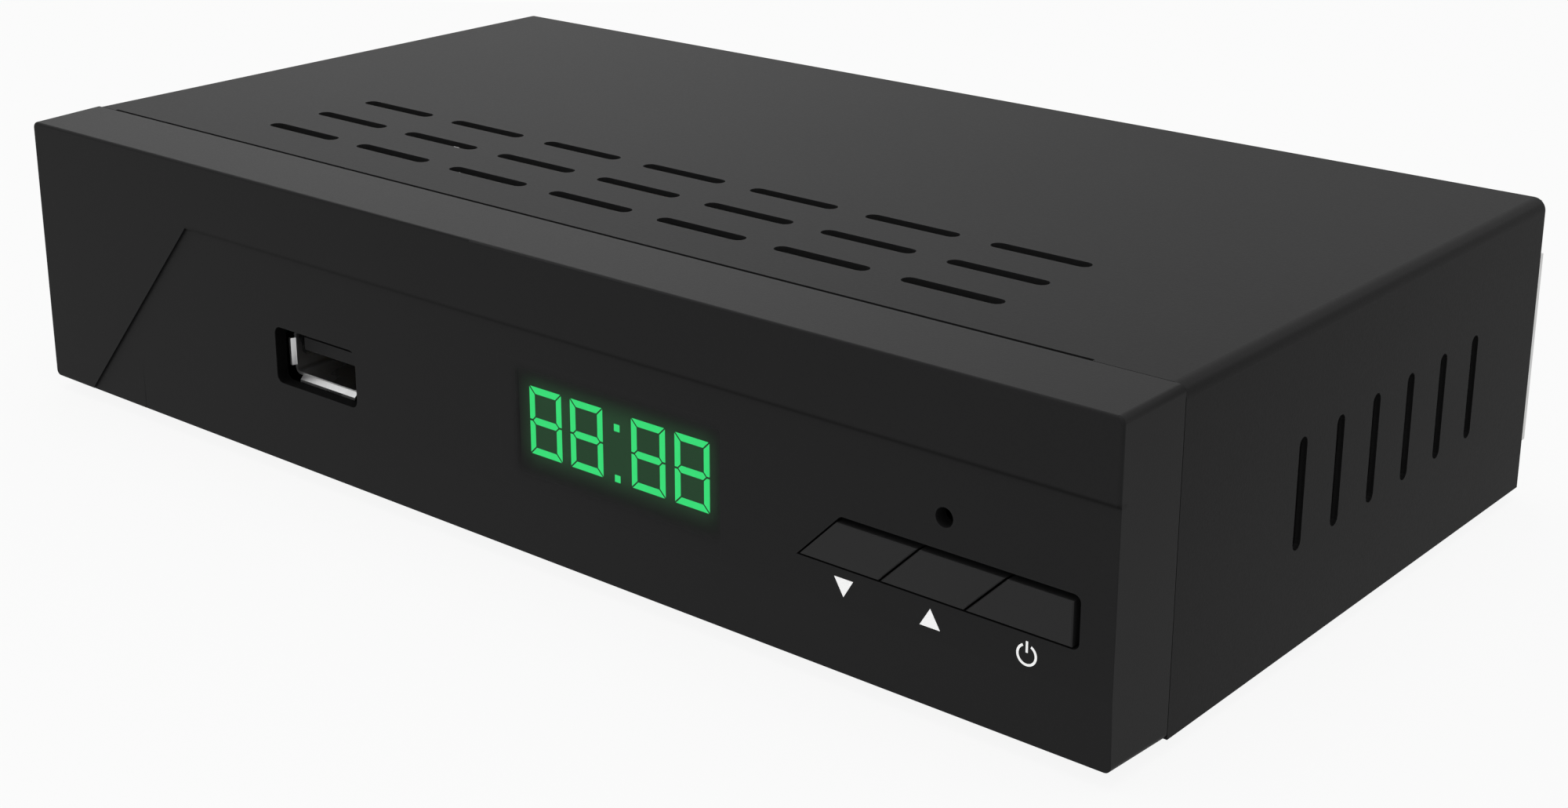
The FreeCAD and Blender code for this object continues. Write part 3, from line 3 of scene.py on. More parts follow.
import bmesh
import bpy
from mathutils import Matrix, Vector


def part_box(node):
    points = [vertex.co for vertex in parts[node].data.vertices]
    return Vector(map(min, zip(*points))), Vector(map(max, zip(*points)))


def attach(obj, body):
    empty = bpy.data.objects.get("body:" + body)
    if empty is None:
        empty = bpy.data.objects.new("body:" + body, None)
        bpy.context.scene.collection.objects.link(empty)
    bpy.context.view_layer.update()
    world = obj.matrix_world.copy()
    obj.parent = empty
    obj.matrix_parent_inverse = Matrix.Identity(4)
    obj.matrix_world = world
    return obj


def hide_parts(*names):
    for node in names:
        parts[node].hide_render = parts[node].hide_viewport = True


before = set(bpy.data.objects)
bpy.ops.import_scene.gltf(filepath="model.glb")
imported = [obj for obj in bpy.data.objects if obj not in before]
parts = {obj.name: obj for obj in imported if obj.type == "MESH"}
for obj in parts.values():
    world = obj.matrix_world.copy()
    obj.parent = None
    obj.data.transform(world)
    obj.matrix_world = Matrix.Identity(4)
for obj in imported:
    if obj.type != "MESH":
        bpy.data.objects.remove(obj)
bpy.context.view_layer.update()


def addObject(name, data):
    item = bpy.data.objects.new(name, data)
    bpy.context.scene.collection.objects.link(item)
    return item


photoCamera = {
    "place": (0.185354, -0.220497, 0.112579),
    "turn": (72.547, 0.0615, 40.334),   # degrees about X, Y and Z
    "lens": 53.716,
    "sensor": 36.0,
    "shift": (0.0162, -0.0871),
    "nearest": 0.01,
}


def makeCamera(look):
    data = bpy.data.cameras.new("photoCamera")
    data.lens = look["lens"]
    data.sensor_width = look["sensor"]
    data.shift_x, data.shift_y = look["shift"]
    data.clip_start = look["nearest"]
    camera = addObject("photoCamera", data)
    camera.location = look["place"]
    camera.rotation_euler = [math.radians(angle) for angle in look["turn"]]
    bpy.context.scene.camera = camera


makeCamera(photoCamera)
print("camera set at the photograph's angle")


def joinUp(tree, source, target):
    tree.links.new(source, target)


def setSockets(node, values):
    for name, value in values.items():
        node.inputs[name].default_value = value
    return node


def addNode(tree, kind, values=None, **settings):
    node = tree.nodes.new(kind)
    for name, value in settings.items():
        setattr(node, name, value)
    return setSockets(node, values or {})


def feed(tree, value, socket):
    if isinstance(value, (int, float, tuple)):
        socket.default_value = value
    else:
        joinUp(tree, value, socket)


def mathNode(tree, operation, *values, clamp=False):
    node = addNode(tree, "ShaderNodeMath", operation=operation, use_clamp=clamp)
    for socket, value in zip(node.inputs, values):
        feed(tree, value, socket)
    return node.outputs[0]


def vectorNode(tree, operation, *values):
    node = addNode(tree, "ShaderNodeVectorMath", operation=operation)
    for socket, value in zip(node.inputs, values):
        feed(tree, value, socket)
    return node.outputs["Value" if operation in ("LENGTH", "DOT_PRODUCT") else "Vector"]


def textureNode(tree, kind, vector, scale, values=None, **settings):
    node = addNode(tree, kind, values, **settings)
    joinUp(tree, vector, node.inputs["Vector"])
    feed(tree, scale, node.inputs["Scale"])
    return node


fullWhite = (1, 1, 1, 1)
studioFloor = {"colour": (0.80, 0.80, 0.795, 1), "roughness": 0.9, "whiteShare": 0.90, "size": 6.0}
studioWorld = {"fill": 0.50, "white": 1.0}
studioLamps = [
    {"name": "softboxAbove", "place": (0.05, -0.10, 1.20), "size": 1.0, "power": 4.4},
    {"name": "softboxFront", "place": (0.30, -1.00, 0.60), "size": 0.8, "power": 1.4},
    {"name": "softboxBack", "place": (-0.95, 0.75, 0.50), "size": 0.8, "power": 1.3},
]


def seenRays(tree):
    path = addNode(tree, "ShaderNodeLightPath")
    direct = mathNode(tree, "MAXIMUM", path.outputs["Is Camera Ray"], path.outputs["Is Glossy Ray"])
    return mathNode(tree, "MAXIMUM", direct, path.outputs["Is Transmission Ray"])


def showWhite(tree, share, usual, white, output):
    mix = addNode(tree, "ShaderNodeMixShader")
    joinUp(tree, share, mix.inputs[0])
    joinUp(tree, usual.outputs[0], mix.inputs[1])
    joinUp(tree, white.outputs[0], mix.inputs[2])
    joinUp(tree, mix.outputs[0], tree.nodes[output].inputs["Surface"])


def makeFloor(look):
    half = look["size"] / 2
    mesh = bpy.data.meshes.new("studioFloor")
    corners = [(-half, -half, 0), (half, -half, 0), (half, half, 0), (-half, half, 0)]
    mesh.from_pydata(corners, [], [(0, 1, 2, 3)])
    floor = addObject("studioFloor", mesh)
    material = bpy.data.materials.new("paleFloor")
    material.use_nodes = True
    tree = material.node_tree
    shader = tree.nodes["Principled BSDF"]
    setSockets(shader, {"Base Color": look["colour"], "Roughness": look["roughness"],
                        "Specular IOR Level": 0.0})
    white = addNode(tree, "ShaderNodeEmission", {"Color": fullWhite, "Strength": 1.0})
    share = mathNode(tree, "MULTIPLY", seenRays(tree), look["whiteShare"])
    showWhite(tree, share, shader, white, "Material Output")
    mesh.materials.append(material)


def makeWorld(look):
    world = bpy.data.worlds.new("studioWorld")
    bpy.context.scene.world = world
    world.use_nodes = True
    tree = world.node_tree
    light = tree.nodes["Background"]
    setSockets(light, {"Color": fullWhite, "Strength": look["fill"]})
    white = addNode(tree, "ShaderNodeBackground", {"Color": fullWhite, "Strength": look["white"]})
    showWhite(tree, seenRays(tree), light, white, "World Output")


def makeLamp(look):
    data = bpy.data.lights.new(look["name"], "AREA")
    data.shape = "DISK"
    data.size = look["size"]
    data.energy = look["power"]
    lamp = addObject(look["name"], data)
    lamp.location = look["place"]
    lamp.rotation_euler = (-Vector(look["place"])).to_track_quat("-Z", "Y").to_euler()


makeFloor(studioFloor)
makeWorld(studioWorld)
for lampLook in studioLamps:
    makeLamp(lampLook)
bpy.context.scene.view_settings.view_transform = "Standard"
print("studio set: pale floor, soft lamps")


def newGroup(name, inputs, outputs):
    group = bpy.data.node_groups.new(name, "ShaderNodeTree")
    for label, value in {"Vector": (0, 0, 0), **inputs}.items():
        kind = "NodeSocketVector" if isinstance(value, tuple) else "NodeSocketFloat"
        socket = group.interface.new_socket(label, in_out="INPUT", socket_type=kind)
        socket.default_value = value
    for label in outputs:
        group.interface.new_socket(label, in_out="OUTPUT", socket_type="NodeSocketFloat")
    return group, group.nodes.new("NodeGroupInput"), group.nodes.new("NodeGroupOutput")


mouldedGrain = {"fineDetail": 3.0, "fineRoughness": 0.6, "cloudScale": 45.0, "cloudDetail": 2.0,
                "cloudRoughness": 0.5, "pitShare": 0.6}


def makeGrainGroup(look):
    group, start, end = newGroup("mouldedGrain", {"Size": 1.0, "Stretch": (1, 1, 1)},
                                 ("Shade", "Cloud", "Height"))
    stretched = vectorNode(group, "MULTIPLY", start.outputs["Vector"], start.outputs["Stretch"])
    scale = mathNode(group, "DIVIDE", 1.0, start.outputs["Size"])
    fine = textureNode(group, "ShaderNodeTexNoise", stretched, scale,
                       {"Detail": look["fineDetail"], "Roughness": look["fineRoughness"]})
    broad = textureNode(group, "ShaderNodeTexNoise", stretched, look["cloudScale"],
                        {"Detail": look["cloudDetail"], "Roughness": look["cloudRoughness"]})
    pits = textureNode(group, "ShaderNodeTexVoronoi", stretched, scale, feature="F1")
    height = mathNode(group, "MULTIPLY_ADD", pits.outputs["Distance"], look["pitShare"],
                      fine.outputs["Fac"])
    joinUp(group, fine.outputs["Fac"], end.inputs["Shade"])
    joinUp(group, broad.outputs["Fac"], end.inputs["Cloud"])
    joinUp(group, height, end.inputs["Height"])
    return group


edgeWear = {"samples": 4, "sharpness": 6.0, "chipScale": 900.0, "chipDetail": 3.0}


def makeEdgeGroup(look):
    group, start, end = newGroup("edgeWear", {"Width": 1.0, "Amount": 1.0}, ("Mask",))
    bevel = addNode(group, "ShaderNodeBevel", samples=look["samples"])
    joinUp(group, start.outputs["Width"], bevel.inputs["Radius"])
    flat = addNode(group, "ShaderNodeNewGeometry")
    dot = vectorNode(group, "DOT_PRODUCT", bevel.outputs["Normal"], flat.outputs["Normal"])
    bend = mathNode(group, "SUBTRACT", 1.0, dot)
    sharp = mathNode(group, "MULTIPLY", bend, look["sharpness"], clamp=True)
    chips = textureNode(group, "ShaderNodeTexNoise", start.outputs["Vector"], look["chipScale"],
                        {"Detail": look["chipDetail"]})
    worn = mathNode(group, "MULTIPLY", sharp, chips.outputs["Fac"])
    mask = mathNode(group, "MULTIPLY", worn, start.outputs["Amount"], clamp=True)
    joinUp(group, mask, end.inputs["Mask"])
    return group


restingDust = {"upwardPower": 3.0, "speckScale": 1600.0, "speckDetail": 4.0, "speckRoughness": 0.7,
               "speckPower": 4.0, "colour": (0.45, 0.43, 0.40)}


def makeDustGroup(look):
    group, start, end = newGroup("restingDust", {"Amount": 1.0}, ("Mask",))
    flat = addNode(group, "ShaderNodeNewGeometry")
    split = addNode(group, "ShaderNodeSeparateXYZ")
    joinUp(group, flat.outputs["Normal"], split.inputs[0])
    facingUp = mathNode(group, "MAXIMUM", split.outputs["Z"], 0.0)
    upward = mathNode(group, "POWER", facingUp, look["upwardPower"])
    specks = textureNode(group, "ShaderNodeTexNoise", start.outputs["Vector"], look["speckScale"],
                         {"Detail": look["speckDetail"], "Roughness": look["speckRoughness"]})
    thin = mathNode(group, "POWER", specks.outputs["Fac"], look["speckPower"])
    settled = mathNode(group, "MULTIPLY", upward, thin)
    mask = mathNode(group, "MULTIPLY", settled, start.outputs["Amount"], clamp=True)
    joinUp(group, mask, end.inputs["Mask"])
    return group


zincSpangle = {"warpScale": 350.0, "warpDetail": 2.0, "warpReach": (0.0012, 0.0012, 0.0012),
               "shineShare": 0.5, "shineStart": 0.2}


def makeSpangleGroup(look):
    group, start, end = newGroup("zincSpangle", {"Size": 1.0}, ("Shade",))
    scale = mathNode(group, "DIVIDE", 1.0, start.outputs["Size"])
    warp = textureNode(group, "ShaderNodeTexNoise", start.outputs["Vector"], look["warpScale"],
                       {"Detail": look["warpDetail"]})
    pushed = vectorNode(group, "MULTIPLY_ADD", warp.outputs["Color"], look["warpReach"],
                        start.outputs["Vector"])
    cells = textureNode(group, "ShaderNodeTexVoronoi", pushed, scale, feature="F1")
    split = addNode(group, "ShaderNodeSeparateColor")
    joinUp(group, cells.outputs["Color"], split.inputs[0])
    joinUp(group, split.outputs[0], end.inputs["Shade"])
    return group


boardTracks = {"ripples": 4.0, "trackMiddle": 0.5, "trackHalf": 0.22, "holeScale": 0.8,
               "holeRandomness": 0.85, "holeSize": 0.11}


def makeTrackGroup(look):
    group, start, end = newGroup("boardTracks", {"Pitch": 1.0}, ("Track", "Hole"))
    scale = mathNode(group, "DIVIDE", 1.0, start.outputs["Pitch"])
    cells = textureNode(group, "ShaderNodeTexVoronoi", start.outputs["Vector"], scale,
                        feature="F1", distance="CHEBYCHEV")
    rings = mathNode(group, "MULTIPLY", cells.outputs["Distance"], look["ripples"])
    ripple = mathNode(group, "FRACT", rings)
    band = mathNode(group, "COMPARE", ripple, look["trackMiddle"], look["trackHalf"])
    holes = textureNode(group, "ShaderNodeTexVoronoi", start.outputs["Vector"],
                        mathNode(group, "MULTIPLY", scale, look["holeScale"]),
                        {"Randomness": look["holeRandomness"]}, feature="F1")
    drilled = mathNode(group, "LESS_THAN", holes.outputs["Distance"], look["holeSize"])
    joinUp(group, band, end.inputs["Track"])
    joinUp(group, drilled, end.inputs["Hole"])
    return group


def makeBoxGroup():
    group, start, end = newGroup(
        "softBox", {"Centre": (0, 0, 0), "Half Size": (1, 1, 1), "Reach": 1.0}, ("Mask",))
    offset = vectorNode(group, "SUBTRACT", start.outputs["Vector"], start.outputs["Centre"])
    away = vectorNode(group, "ABSOLUTE", offset)
    past = vectorNode(group, "SUBTRACT", away, start.outputs["Half Size"])
    outside = vectorNode(group, "MAXIMUM", past, (0.0, 0.0, 0.0))
    distance = vectorNode(group, "LENGTH", outside)
    share = mathNode(group, "DIVIDE", distance, start.outputs["Reach"])
    squared = mathNode(group, "POWER", share, 2.0)
    fading = mathNode(group, "EXPONENT", mathNode(group, "MULTIPLY", squared, -1.0))
    joinUp(group, fading, end.inputs["Mask"])
    return group


effects = {
    "grain": makeGrainGroup(mouldedGrain),
    "edge": makeEdgeGroup(edgeWear),
    "dust": makeDustGroup(restingDust),
    "spangle": makeSpangleGroup(zincSpangle),
    "tracks": makeTrackGroup(boardTracks),
    "box": makeBoxGroup(),
}
print("surface effects made:", ", ".join(effects))


def objectPlace(tree):
    return addNode(tree, "ShaderNodeTexCoord").outputs["Object"]


def placeGroup(tree, effect, place, values):
    node = tree.nodes.new("ShaderNodeGroup")
    node.node_tree = effects[effect]
    joinUp(tree, place, node.inputs["Vector"])
    return setSockets(node, values)


def boxMask(tree, place, centre, half, reach):
    values = {"Centre": centre, "Half Size": half, "Reach": reach}
    return placeGroup(tree, "box", place, values).outputs["Mask"]


def blendColours(tree, share, first, second):
    node = addNode(tree, "ShaderNodeMix", data_type="RGBA")
    sockets = [s for s in node.inputs if s.type == "RGBA"]
    for socket, colour in zip(sockets, (first, second)):
        if isinstance(colour, (tuple, list)):
            socket.default_value = (*colour[:3], 1)
        else:
            joinUp(tree, colour, socket)
    joinUp(tree, share, node.inputs["Factor"])
    return [s for s in node.outputs if s.type == "RGBA"][0]


def rangeNode(tree, value, low, high):
    node = addNode(tree, "ShaderNodeMapRange", {"To Min": low, "To Max": high})
    joinUp(tree, value, node.inputs["Value"])
    return node.outputs["Result"]


usualFinish = {"metallic": 0.0, "specular": 0.5, "stretch": (1, 1, 1), "cloud": 0.08,
               "dust": 0.05, "bumpStrength": 0.4}


def makeFinish(name, changes):
    look = {**usualFinish, **changes}
    material = bpy.data.materials.new(name)
    material.use_nodes = True
    tree = material.node_tree
    shader = tree.nodes["Principled BSDF"]
    setSockets(shader, {"Metallic": look["metallic"], "Specular IOR Level": look["specular"]})
    place = objectPlace(tree)
    grain = placeGroup(tree, "grain", place,
                       {"Size": look["grainSize"], "Stretch": look["stretch"]})
    shade, height = grain.outputs["Shade"], grain.outputs["Height"]
    colour = blendColours(tree, shade, look["colour"], look["second"])
    if "spangleSize" in look:
        spangle = placeGroup(tree, "spangle", place, {"Size": look["spangleSize"]}).outputs["Shade"]
        share = mathNode(tree, "MULTIPLY", spangle, look["spangleShare"])
        colour = blendColours(tree, share, colour, look["spangleColour"])
        shade = mathNode(tree, "MULTIPLY_ADD", spangle, zincSpangle["shineShare"],
                         zincSpangle["shineStart"])
    if "tracks" in look:
        tracks = placeGroup(tree, "tracks", place, {"Pitch": look["tracks"]}).outputs
        colour = blendColours(tree, tracks["Track"], colour, look["trackColour"])
        colour = blendColours(tree, tracks["Hole"], colour, look["padColour"])
        height = mathNode(tree, "ADD", tracks["Track"], tracks["Hole"])
    cloud = rangeNode(tree, grain.outputs["Cloud"], 1.0 - look["cloud"], 1.0 + look["cloud"])
    if "paintedLight" in look:   # painted light: the colour grows lighter along X
        across = addNode(tree, "ShaderNodeSeparateXYZ")
        joinUp(tree, place, across.inputs[0])
        paintedLight = addNode(tree, "ShaderNodeMapRange", look["paintedLight"])
        joinUp(tree, across.outputs["X"], paintedLight.inputs["Value"])
        cloud = mathNode(tree, "MULTIPLY", cloud, paintedLight.outputs["Result"])
    clouded = addNode(tree, "ShaderNodeVectorMath", operation="SCALE")
    joinUp(tree, colour, clouded.inputs[0])
    joinUp(tree, cloud, clouded.inputs["Scale"])
    edge = placeGroup(tree, "edge", place,
                      {"Width": look["edgeWidth"], "Amount": look["edgeAmount"]})
    colour = blendColours(tree, edge.outputs["Mask"], clouded.outputs["Vector"], look["edgeColour"])
    dust = placeGroup(tree, "dust", place, {"Amount": look["dust"]})
    colour = blendColours(tree, dust.outputs["Mask"], colour, restingDust["colour"])
    joinUp(tree, colour, shader.inputs["Base Color"])
    joinUp(tree, rangeNode(tree, shade, *look["roughness"]), shader.inputs["Roughness"])
    bump = addNode(tree, "ShaderNodeBump",
                   {"Strength": look["bumpStrength"], "Distance": look["bumpDepth"]})
    joinUp(tree, height, bump.inputs["Height"])
    joinUp(tree, bump.outputs["Normal"], shader.inputs["Normal"])
    return material


# paints shade into the base colour (and sets roughness) inside soft boxes
def addPaintedShade(material, spots):
    tree = material.node_tree
    shader = tree.nodes["Principled BSDF"]
    place = objectPlace(tree)
    for spot in spots:
        mask = boxMask(tree, place, spot["centre"], spot["half"], spot["reach"])
        if spot.get("outside"):
            mask = mathNode(tree, "SUBTRACT", 1.0, mask)
        share = mathNode(tree, "MULTIPLY", mask, spot["share"])
        colour = shader.inputs["Base Color"].links[0].from_socket
        spotted = blendColours(tree, share, colour, spot["colour"])
        joinUp(tree, spotted, shader.inputs["Base Color"])
        if "roughness" in spot:
            blend = addNode(tree, "ShaderNodeMix", {3: spot["roughness"]}, data_type="FLOAT")
            joinUp(tree, share, blend.inputs[0])
            joinUp(tree, shader.inputs["Roughness"].links[0].from_socket, blend.inputs[2])
            joinUp(tree, blend.outputs[0], shader.inputs["Roughness"])
    return material


def dress(material, *names):
    for name in names:
        for slot in parts[name].material_slots:
            slot.material = material


coverPaint = {
    "colour": (0.0100, 0.0100, 0.0101), "second": (0.0145, 0.0145, 0.0147),
    "roughness": (0.56, 0.66), "specular": 0.10, "grainSize": 0.00032,
    "bumpDepth": 0.00002, "bumpStrength": 0.35, "cloud": 0.10,
    "edgeColour": (0.030, 0.030, 0.031), "edgeWidth": 0.0004, "edgeAmount": 0.5, "dust": 0.02,
}
coverPaintedShade = [   # painted shade: the two sides are darker than the top
    {"centre": (0, 0, 0), "half": (0.0845, 1, 1), "reach": 0.0002, "outside": True,
     "share": 0.75, "colour": (0.0015, 0.0015, 0.0015)},
]
trayPaint = dict(coverPaint, colour=(0.012, 0.012, 0.012), second=(0.018, 0.018, 0.018))
dress(addPaintedShade(makeFinish("coverPaint", coverPaint), coverPaintedShade), "top_cover")
dress(makeFinish("trayPaint", trayPaint), "bottom_chassis")

galvanised = {
    "colour": (0.50, 0.50, 0.49), "second": (0.58, 0.58, 0.57), "metallic": 1.0,
    "roughness": (0.34, 0.52), "grainSize": 0.0005, "stretch": (1.0, 1.0, 0.12),
    "spangleSize": 0.007, "spangleShare": 0.45, "spangleColour": (0.66, 0.67, 0.68),
    "bumpDepth": 0.00001, "bumpStrength": 0.2, "cloud": 0.06,
    "edgeColour": (0.72, 0.72, 0.70), "edgeWidth": 0.0003, "edgeAmount": 0.6, "dust": 0.05,
}
dress(makeFinish("galvanisedSheet", galvanised), "rear_panel")
print("sheet metal painted")


frontMoulding = {
    "colour": (0.0070, 0.0070, 0.0071), "second": (0.0105, 0.0105, 0.0107),
    "roughness": (0.48, 0.58), "specular": 0.10, "grainSize": 0.00022,
    "bumpDepth": 0.000015, "bumpStrength": 0.35, "cloud": 0.06,
    "edgeColour": (0.022, 0.022, 0.023), "edgeWidth": 0.0003, "edgeAmount": 0.5, "dust": 0.015,
}
# painted light and shade: the front moulding is darker at -X and lighter at +X
frontPaintedLight = {"From Min": -0.085, "From Max": 0.085, "To Min": 0.60, "To Max": 1.40}
frontPaintedShade = [   # painted shade: the line above the field, the two sides, the walls of the USB mouth
    {"centre": (0.01605, -0.0520, 0.0290), "half": (0.0686, 0.001, 0.00009), "reach": 0.00018,
     "share": 1.0, "colour": (0.0015, 0.0015, 0.0015)},
    {"centre": (0, 0, 0), "half": (0.0845, 1, 1), "reach": 0.0002, "outside": True,
     "share": 0.60, "colour": (0.003, 0.003, 0.003)},
    {"centre": (-0.0286, -0.0480, 0.0160), "half": (0.0085, 0.0036, 0.0060), "reach": 0.00004,
     "share": 1.0, "colour": (0.0004, 0.0004, 0.0004), "roughness": 1.0},
]
# painted light: the buttons are a lighter copy of the front moulding
buttonMouldingLit = dict(frontMoulding, colour=(0.0125, 0.0125, 0.0127),
                      second=(0.0165, 0.0165, 0.0167), specular=0.18)
plungerMoulding = dict(frontMoulding, colour=(0.05, 0.05, 0.05), second=(0.065, 0.065, 0.065))
frontMaterial = makeFinish("frontMoulding", dict(frontMoulding, paintedLight=frontPaintedLight))
dress(addPaintedShade(frontMaterial, frontPaintedShade), "front_bezel")
dress(makeFinish("buttonMouldingLit", buttonMouldingLit), "down_button", "up_button", "power_button")
dress(makeFinish("plungerMoulding", plungerMoulding),
      "down_plunger", "up_plunger", "power_plunger")

digitRow = {
    # painted light: the display face glows green around the digits and faint grey everywhere
    "haloCentre": (0.02022, 0.0, 0.017535), "haloHalf": (0.0121, 1.0, 0.0028),
    "haloReach": 0.0020, "haloColour": (0.028, 0.150, 0.050),
    "paintedGreyGlow": (0.0190, 0.0195, 0.0190),
    "litColour": (0.047, 1.0, 0.250), "litStrength": 2.6, "dimShare": 0.92, "mottle": 0.0011,
    "clearCentre": (0.0217, 0.0, 0.0181), "clearHalf": (0.0141, 1.0, 0.0051),
    "clearReach": 0.0010, "clearShare": 0.28,
}
smokedPane = dict(frontMoulding, edgeAmount=0.0, bumpStrength=0.25, paintedLight=frontPaintedLight)
displayFace = {
    "colour": (0.004, 0.0045, 0.0042), "second": (0.006, 0.0065, 0.0062),
    "roughness": (0.45, 0.55), "specular": 0.05, "grainSize": 0.0003, "bumpDepth": 0.00001,
    "edgeColour": (0.02, 0.02, 0.02), "edgeWidth": 0.0002, "edgeAmount": 0.2,
}
segmentFace = {
    "colour": (0.01, 0.12, 0.04), "second": (0.015, 0.15, 0.05),
    "roughness": (0.4, 0.5), "grainSize": 0.0004, "bumpDepth": 0.00001,
    "edgeColour": (0.02, 0.16, 0.06), "edgeWidth": 0.0001, "edgeAmount": 0.1,
}


def makeWindowMaterial(look):
    material = makeFinish("smokedWindow", smokedPane)
    tree = material.node_tree
    clear = boxMask(tree, objectPlace(tree),   # clear only in front of the digits
                    look["clearCentre"], look["clearHalf"], look["clearReach"])
    share = mathNode(tree, "MULTIPLY", clear, look["clearShare"])
    inner = addNode(tree, "ShaderNodeNewGeometry").outputs["Backfacing"]
    alpha = mathNode(tree, "MULTIPLY", mathNode(tree, "SUBTRACT", 1.0, share),
                     mathNode(tree, "SUBTRACT", 1.0, inner))   # its back face hides nothing
    joinUp(tree, alpha, tree.nodes["Principled BSDF"].inputs["Alpha"])
    return material


def makeDisplayMaterial(look):
    material = makeFinish("displayFace", displayFace)
    tree = material.node_tree
    shader = tree.nodes["Principled BSDF"]
    # painted light: green glow near the digits plus a grey glow all over the face
    halo = boxMask(tree, objectPlace(tree),
                   look["haloCentre"], look["haloHalf"], look["haloReach"])
    green = blendColours(tree, halo, (0, 0, 0), look["haloColour"])
    glow = vectorNode(tree, "ADD", green, look["paintedGreyGlow"])
    joinUp(tree, glow, shader.inputs["Emission Color"])
    setSockets(shader, {"Emission Strength": 1.0})
    return material


def makeSegmentMaterial(look):
    material = makeFinish("litSegment", segmentFace)
    tree = material.node_tree
    shader = tree.nodes["Principled BSDF"]
    grain = placeGroup(tree, "grain", objectPlace(tree), {"Size": look["mottle"]})
    dim = [channel * look["dimShare"] for channel in look["litColour"]]
    lit = blendColours(tree, grain.outputs["Shade"], dim, look["litColour"])
    joinUp(tree, lit, shader.inputs["Emission Color"])
    setSockets(shader, {"Emission Strength": look["litStrength"]})
    return material


dress(makeWindowMaterial(digitRow), "display_window")
dress(makeDisplayMaterial(digitRow), "led_display")
dress(makeSegmentMaterial(digitRow), "display_segments")
print("front dressed, digits lit")


hardware = {
    "zincScrew": dict(
        galvanised, colour=(0.48, 0.48, 0.46), second=(0.60, 0.60, 0.57),
        spangleSize=0.0012, spangleShare=0.2, roughness=(0.28, 0.45)),
    "brightSteel": dict(
        galvanised, colour=(0.62, 0.62, 0.62), second=(0.74, 0.74, 0.74),
        spangleSize=0.004, spangleShare=0.1, roughness=(0.20, 0.34)),
    "tinnedSteel": dict(
        galvanised, colour=(0.55, 0.55, 0.54), second=(0.66, 0.66, 0.65),
        spangleSize=0.010, spangleShare=0.25, roughness=(0.25, 0.42)),
    "nickelPlate": dict(
        galvanised, colour=(0.60, 0.58, 0.54), second=(0.70, 0.68, 0.64),
        spangleSize=0.002, spangleShare=0.1, roughness=(0.16, 0.28)),
    "goldContact": dict(
        galvanised, colour=(0.72, 0.48, 0.17), second=(0.86, 0.62, 0.27), spangleSize=0.001,
        spangleShare=0.1, spangleColour=(0.9, 0.7, 0.35), roughness=(0.18, 0.30)),
    "turnedBrass": dict(
        galvanised, colour=(0.60, 0.42, 0.18), second=(0.72, 0.54, 0.27), spangleSize=0.001,
        spangleShare=0.1, spangleColour=(0.8, 0.62, 0.33), roughness=(0.25, 0.40)),
    "satinAluminium": dict(
        galvanised, colour=(0.40, 0.40, 0.42), second=(0.50, 0.50, 0.52),
        spangleSize=0.003, spangleShare=0.1, roughness=(0.38, 0.50)),
    "socketPlastic": dict(
        frontMoulding, colour=(0.012, 0.012, 0.0125), second=(0.02, 0.02, 0.021),
        roughness=(0.35, 0.50), specular=0.45),
    "tonguePlastic": dict(
        frontMoulding, colour=(0.010, 0.010, 0.0102), second=(0.014, 0.014, 0.0142),
        roughness=(0.55, 0.65), specular=0.15),
    "whiteInsulator": dict(
        frontMoulding, colour=(0.70, 0.70, 0.66), second=(0.80, 0.80, 0.76),
        edgeColour=(0.85, 0.85, 0.82), roughness=(0.40, 0.55), specular=0.5),
    "orangePlastic": dict(
        frontMoulding, colour=(0.70, 0.18, 0.02), second=(0.82, 0.26, 0.04),
        edgeColour=(0.85, 0.35, 0.10), roughness=(0.35, 0.50), specular=0.5),
    "chipBody": dict(
        frontMoulding, colour=(0.018, 0.018, 0.019), second=(0.030, 0.030, 0.031),
        roughness=(0.50, 0.65), specular=0.4),
    "canSleeve": dict(
        frontMoulding, colour=(0.012, 0.016, 0.040), second=(0.020, 0.026, 0.060),
        roughness=(0.25, 0.35), specular=0.5),
    "coilFerrite": dict(
        frontMoulding, colour=(0.08, 0.08, 0.08), second=(0.13, 0.13, 0.13),
        roughness=(0.60, 0.80), grainSize=0.0004, bumpDepth=0.00005),
    "footRubber": dict(
        frontMoulding, colour=(0.012, 0.012, 0.012), second=(0.020, 0.020, 0.020),
        roughness=(0.70, 0.85), specular=0.3, grainSize=0.0004, bumpDepth=0.00004),
    "eyePlastic": dict(
        frontMoulding, colour=(0.006, 0.004, 0.007), second=(0.009, 0.006, 0.010),
        roughness=(0.10, 0.18), specular=0.5, bumpDepth=0.000004),
    "boardLacquer": dict(
        frontMoulding, colour=(0.010, 0.075, 0.028), second=(0.014, 0.095, 0.036),
        tracks=0.0042, trackColour=(0.020, 0.150, 0.060), padColour=(0.55, 0.50, 0.40),
        roughness=(0.28, 0.40), specular=0.5, bumpDepth=0.00003),
}
